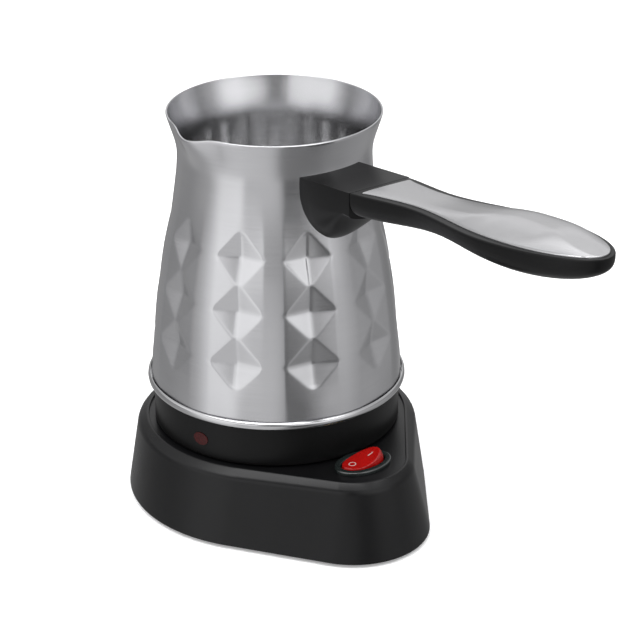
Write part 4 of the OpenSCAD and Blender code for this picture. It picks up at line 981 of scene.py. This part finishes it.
def calc(tree, operation, a, b=None):
    """The result of a math node on a, and on b where there is one: a socket or a number."""
    node = tree.nodes.new("ShaderNodeMath")
    node.operation = operation
    tree.links.new(a, node.inputs[0])
    if isinstance(b, float):
        node.inputs[1].default_value = b
    elif b is not None:
        tree.links.new(b, node.inputs[1])
    return node.outputs[0]


def studio():
    """The world: soft panels of different brightness all round, which the steel shows as
    upright bands, one long lamp overhead, and a pale background for the camera alone."""
    world = bpy.data.worlds.new("studio")
    bpy.context.scene.world = world
    world.use_nodes = True
    tree = world.node_tree
    coords = tree.nodes.new("ShaderNodeTexCoord")
    rotate = tree.nodes.new("ShaderNodeVectorRotate")
    rotate.rotation_type = "Z_AXIS"
    rotate.inputs["Angle"].default_value = -CAMERA_AZ
    tree.links.new(coords.outputs["Generated"], rotate.inputs["Vector"])
    xyz = tree.nodes.new("ShaderNodeSeparateXYZ")
    tree.links.new(rotate.outputs["Vector"], xyz.inputs["Vector"])
    front, side, up = xyz.outputs["X"], xyz.outputs["Y"], xyz.outputs["Z"]
    turn = spread(tree, calc(tree, "ARCTAN2", side, front), 0, 1, -math.pi, math.pi)
    light = ramp(tree, turn, DEEP)
    for stops, start, end in RISING:
        share = spread(tree, up, 0, 1, start, end, "SMOOTHSTEP")
        light = mixed(tree, light, ramp(tree, turn, stops), share)
    # The lamp overhead lies across the camera's direction
    off = calc(tree, "ABSOLUTE", spread(tree, front, -1, 1, STRIP_X - 1, STRIP_X + 1))
    near = spread(tree, off, 1, 0, STRIP_CORE, STRIP_EDGE)
    share = calc(tree, "MULTIPLY", near, spread(tree, up, 0, 1, STRIP_START, STRIP_FULL))
    light = mixed(tree, light, (STRIP, STRIP, STRIP * COOL), share)
    by_camera = tree.nodes.new("ShaderNodeLightPath").outputs["Is Camera Ray"]
    light = mixed(tree, light, BACKGROUND, by_camera)
    tree.links.new(light, tree.nodes["Background"].inputs["Color"])


def area(name, place, size, power):
    """A round lamp of power watts that faces the object, left out of mirror reflections."""
    light = bpy.data.lights.new(name, "AREA")
    light.shape, light.size, light.energy = "DISK", size, power
    obj = bpy.data.objects.new(name, light)
    bpy.context.scene.collection.objects.link(obj)
    obj.location = place
    obj.rotation_euler = (Vector(AIM) - Vector(place)).to_track_quat("-Z", "Y").to_euler()
    obj.visible_glossy = False


def floor_disc():
    """A pale round floor. What the camera sees of it is close to white; its glow shows to
    the camera alone and lights nothing."""
    data = bpy.data.meshes.new("floor")
    rings = (0.0001, 0.4, 1.2, 4.0, 14.0)  # radii in metres
    loops = [[(r * math.cos(t), r * math.sin(t), 0) for t in turns(96)] for r in rings]
    verts, faces = loops_to_mesh(loops)
    data.from_pydata(verts, [], faces)
    obj = bpy.data.objects.new("floor", data)
    bpy.context.scene.collection.objects.link(obj)
    mat, tree, bsdf = shader("floor_pale", (0.88, 0.88, 0.885), 0.0, 0.9)
    grain = noise(tree, 60, EVEN, 3)
    tree.links.new(tint(tree, grain, (0.87, 0.87, 0.875), (0.9, 0.9, 0.905)), bsdf.inputs["Base Color"])
    bsdf.inputs["Emission Color"].default_value = (1, 1, 1, 1)
    by_camera = tree.nodes.new("ShaderNodeLightPath").outputs["Is Camera Ray"]
    glow = calc(tree, "MULTIPLY", by_camera, FLOOR_WHITE)
    tree.links.new(glow, bsdf.inputs["Emission Strength"])
    data.materials.append(mat)
    obj.visible_glossy = False


studio()
floor_disc()
area("key", (0.55, -0.95, 1.05), 0.7, 3)
area("fill", (-0.9, -0.5, 0.9), 0.9, 1.5)

# The camera as fitted to the photograph: its lens, place in metres and turn in degrees
LENS, PLACE, TURN = 126.015, (0.582787, -0.450714, 0.434560), (65.08398, -0.037546, 53.780689)
camera_data = bpy.data.cameras.new("camera")
camera_data.sensor_width, camera_data.lens = 36, LENS
camera_data.clip_start, camera_data.clip_end = 0.05, 50
camera = bpy.data.objects.new("camera", camera_data)
bpy.context.scene.collection.objects.link(camera)
camera.location = PLACE
camera.rotation_euler = [math.radians(a) for a in TURN]
bpy.context.scene.camera = camera
bpy.context.scene.view_settings.view_transform = "Standard"
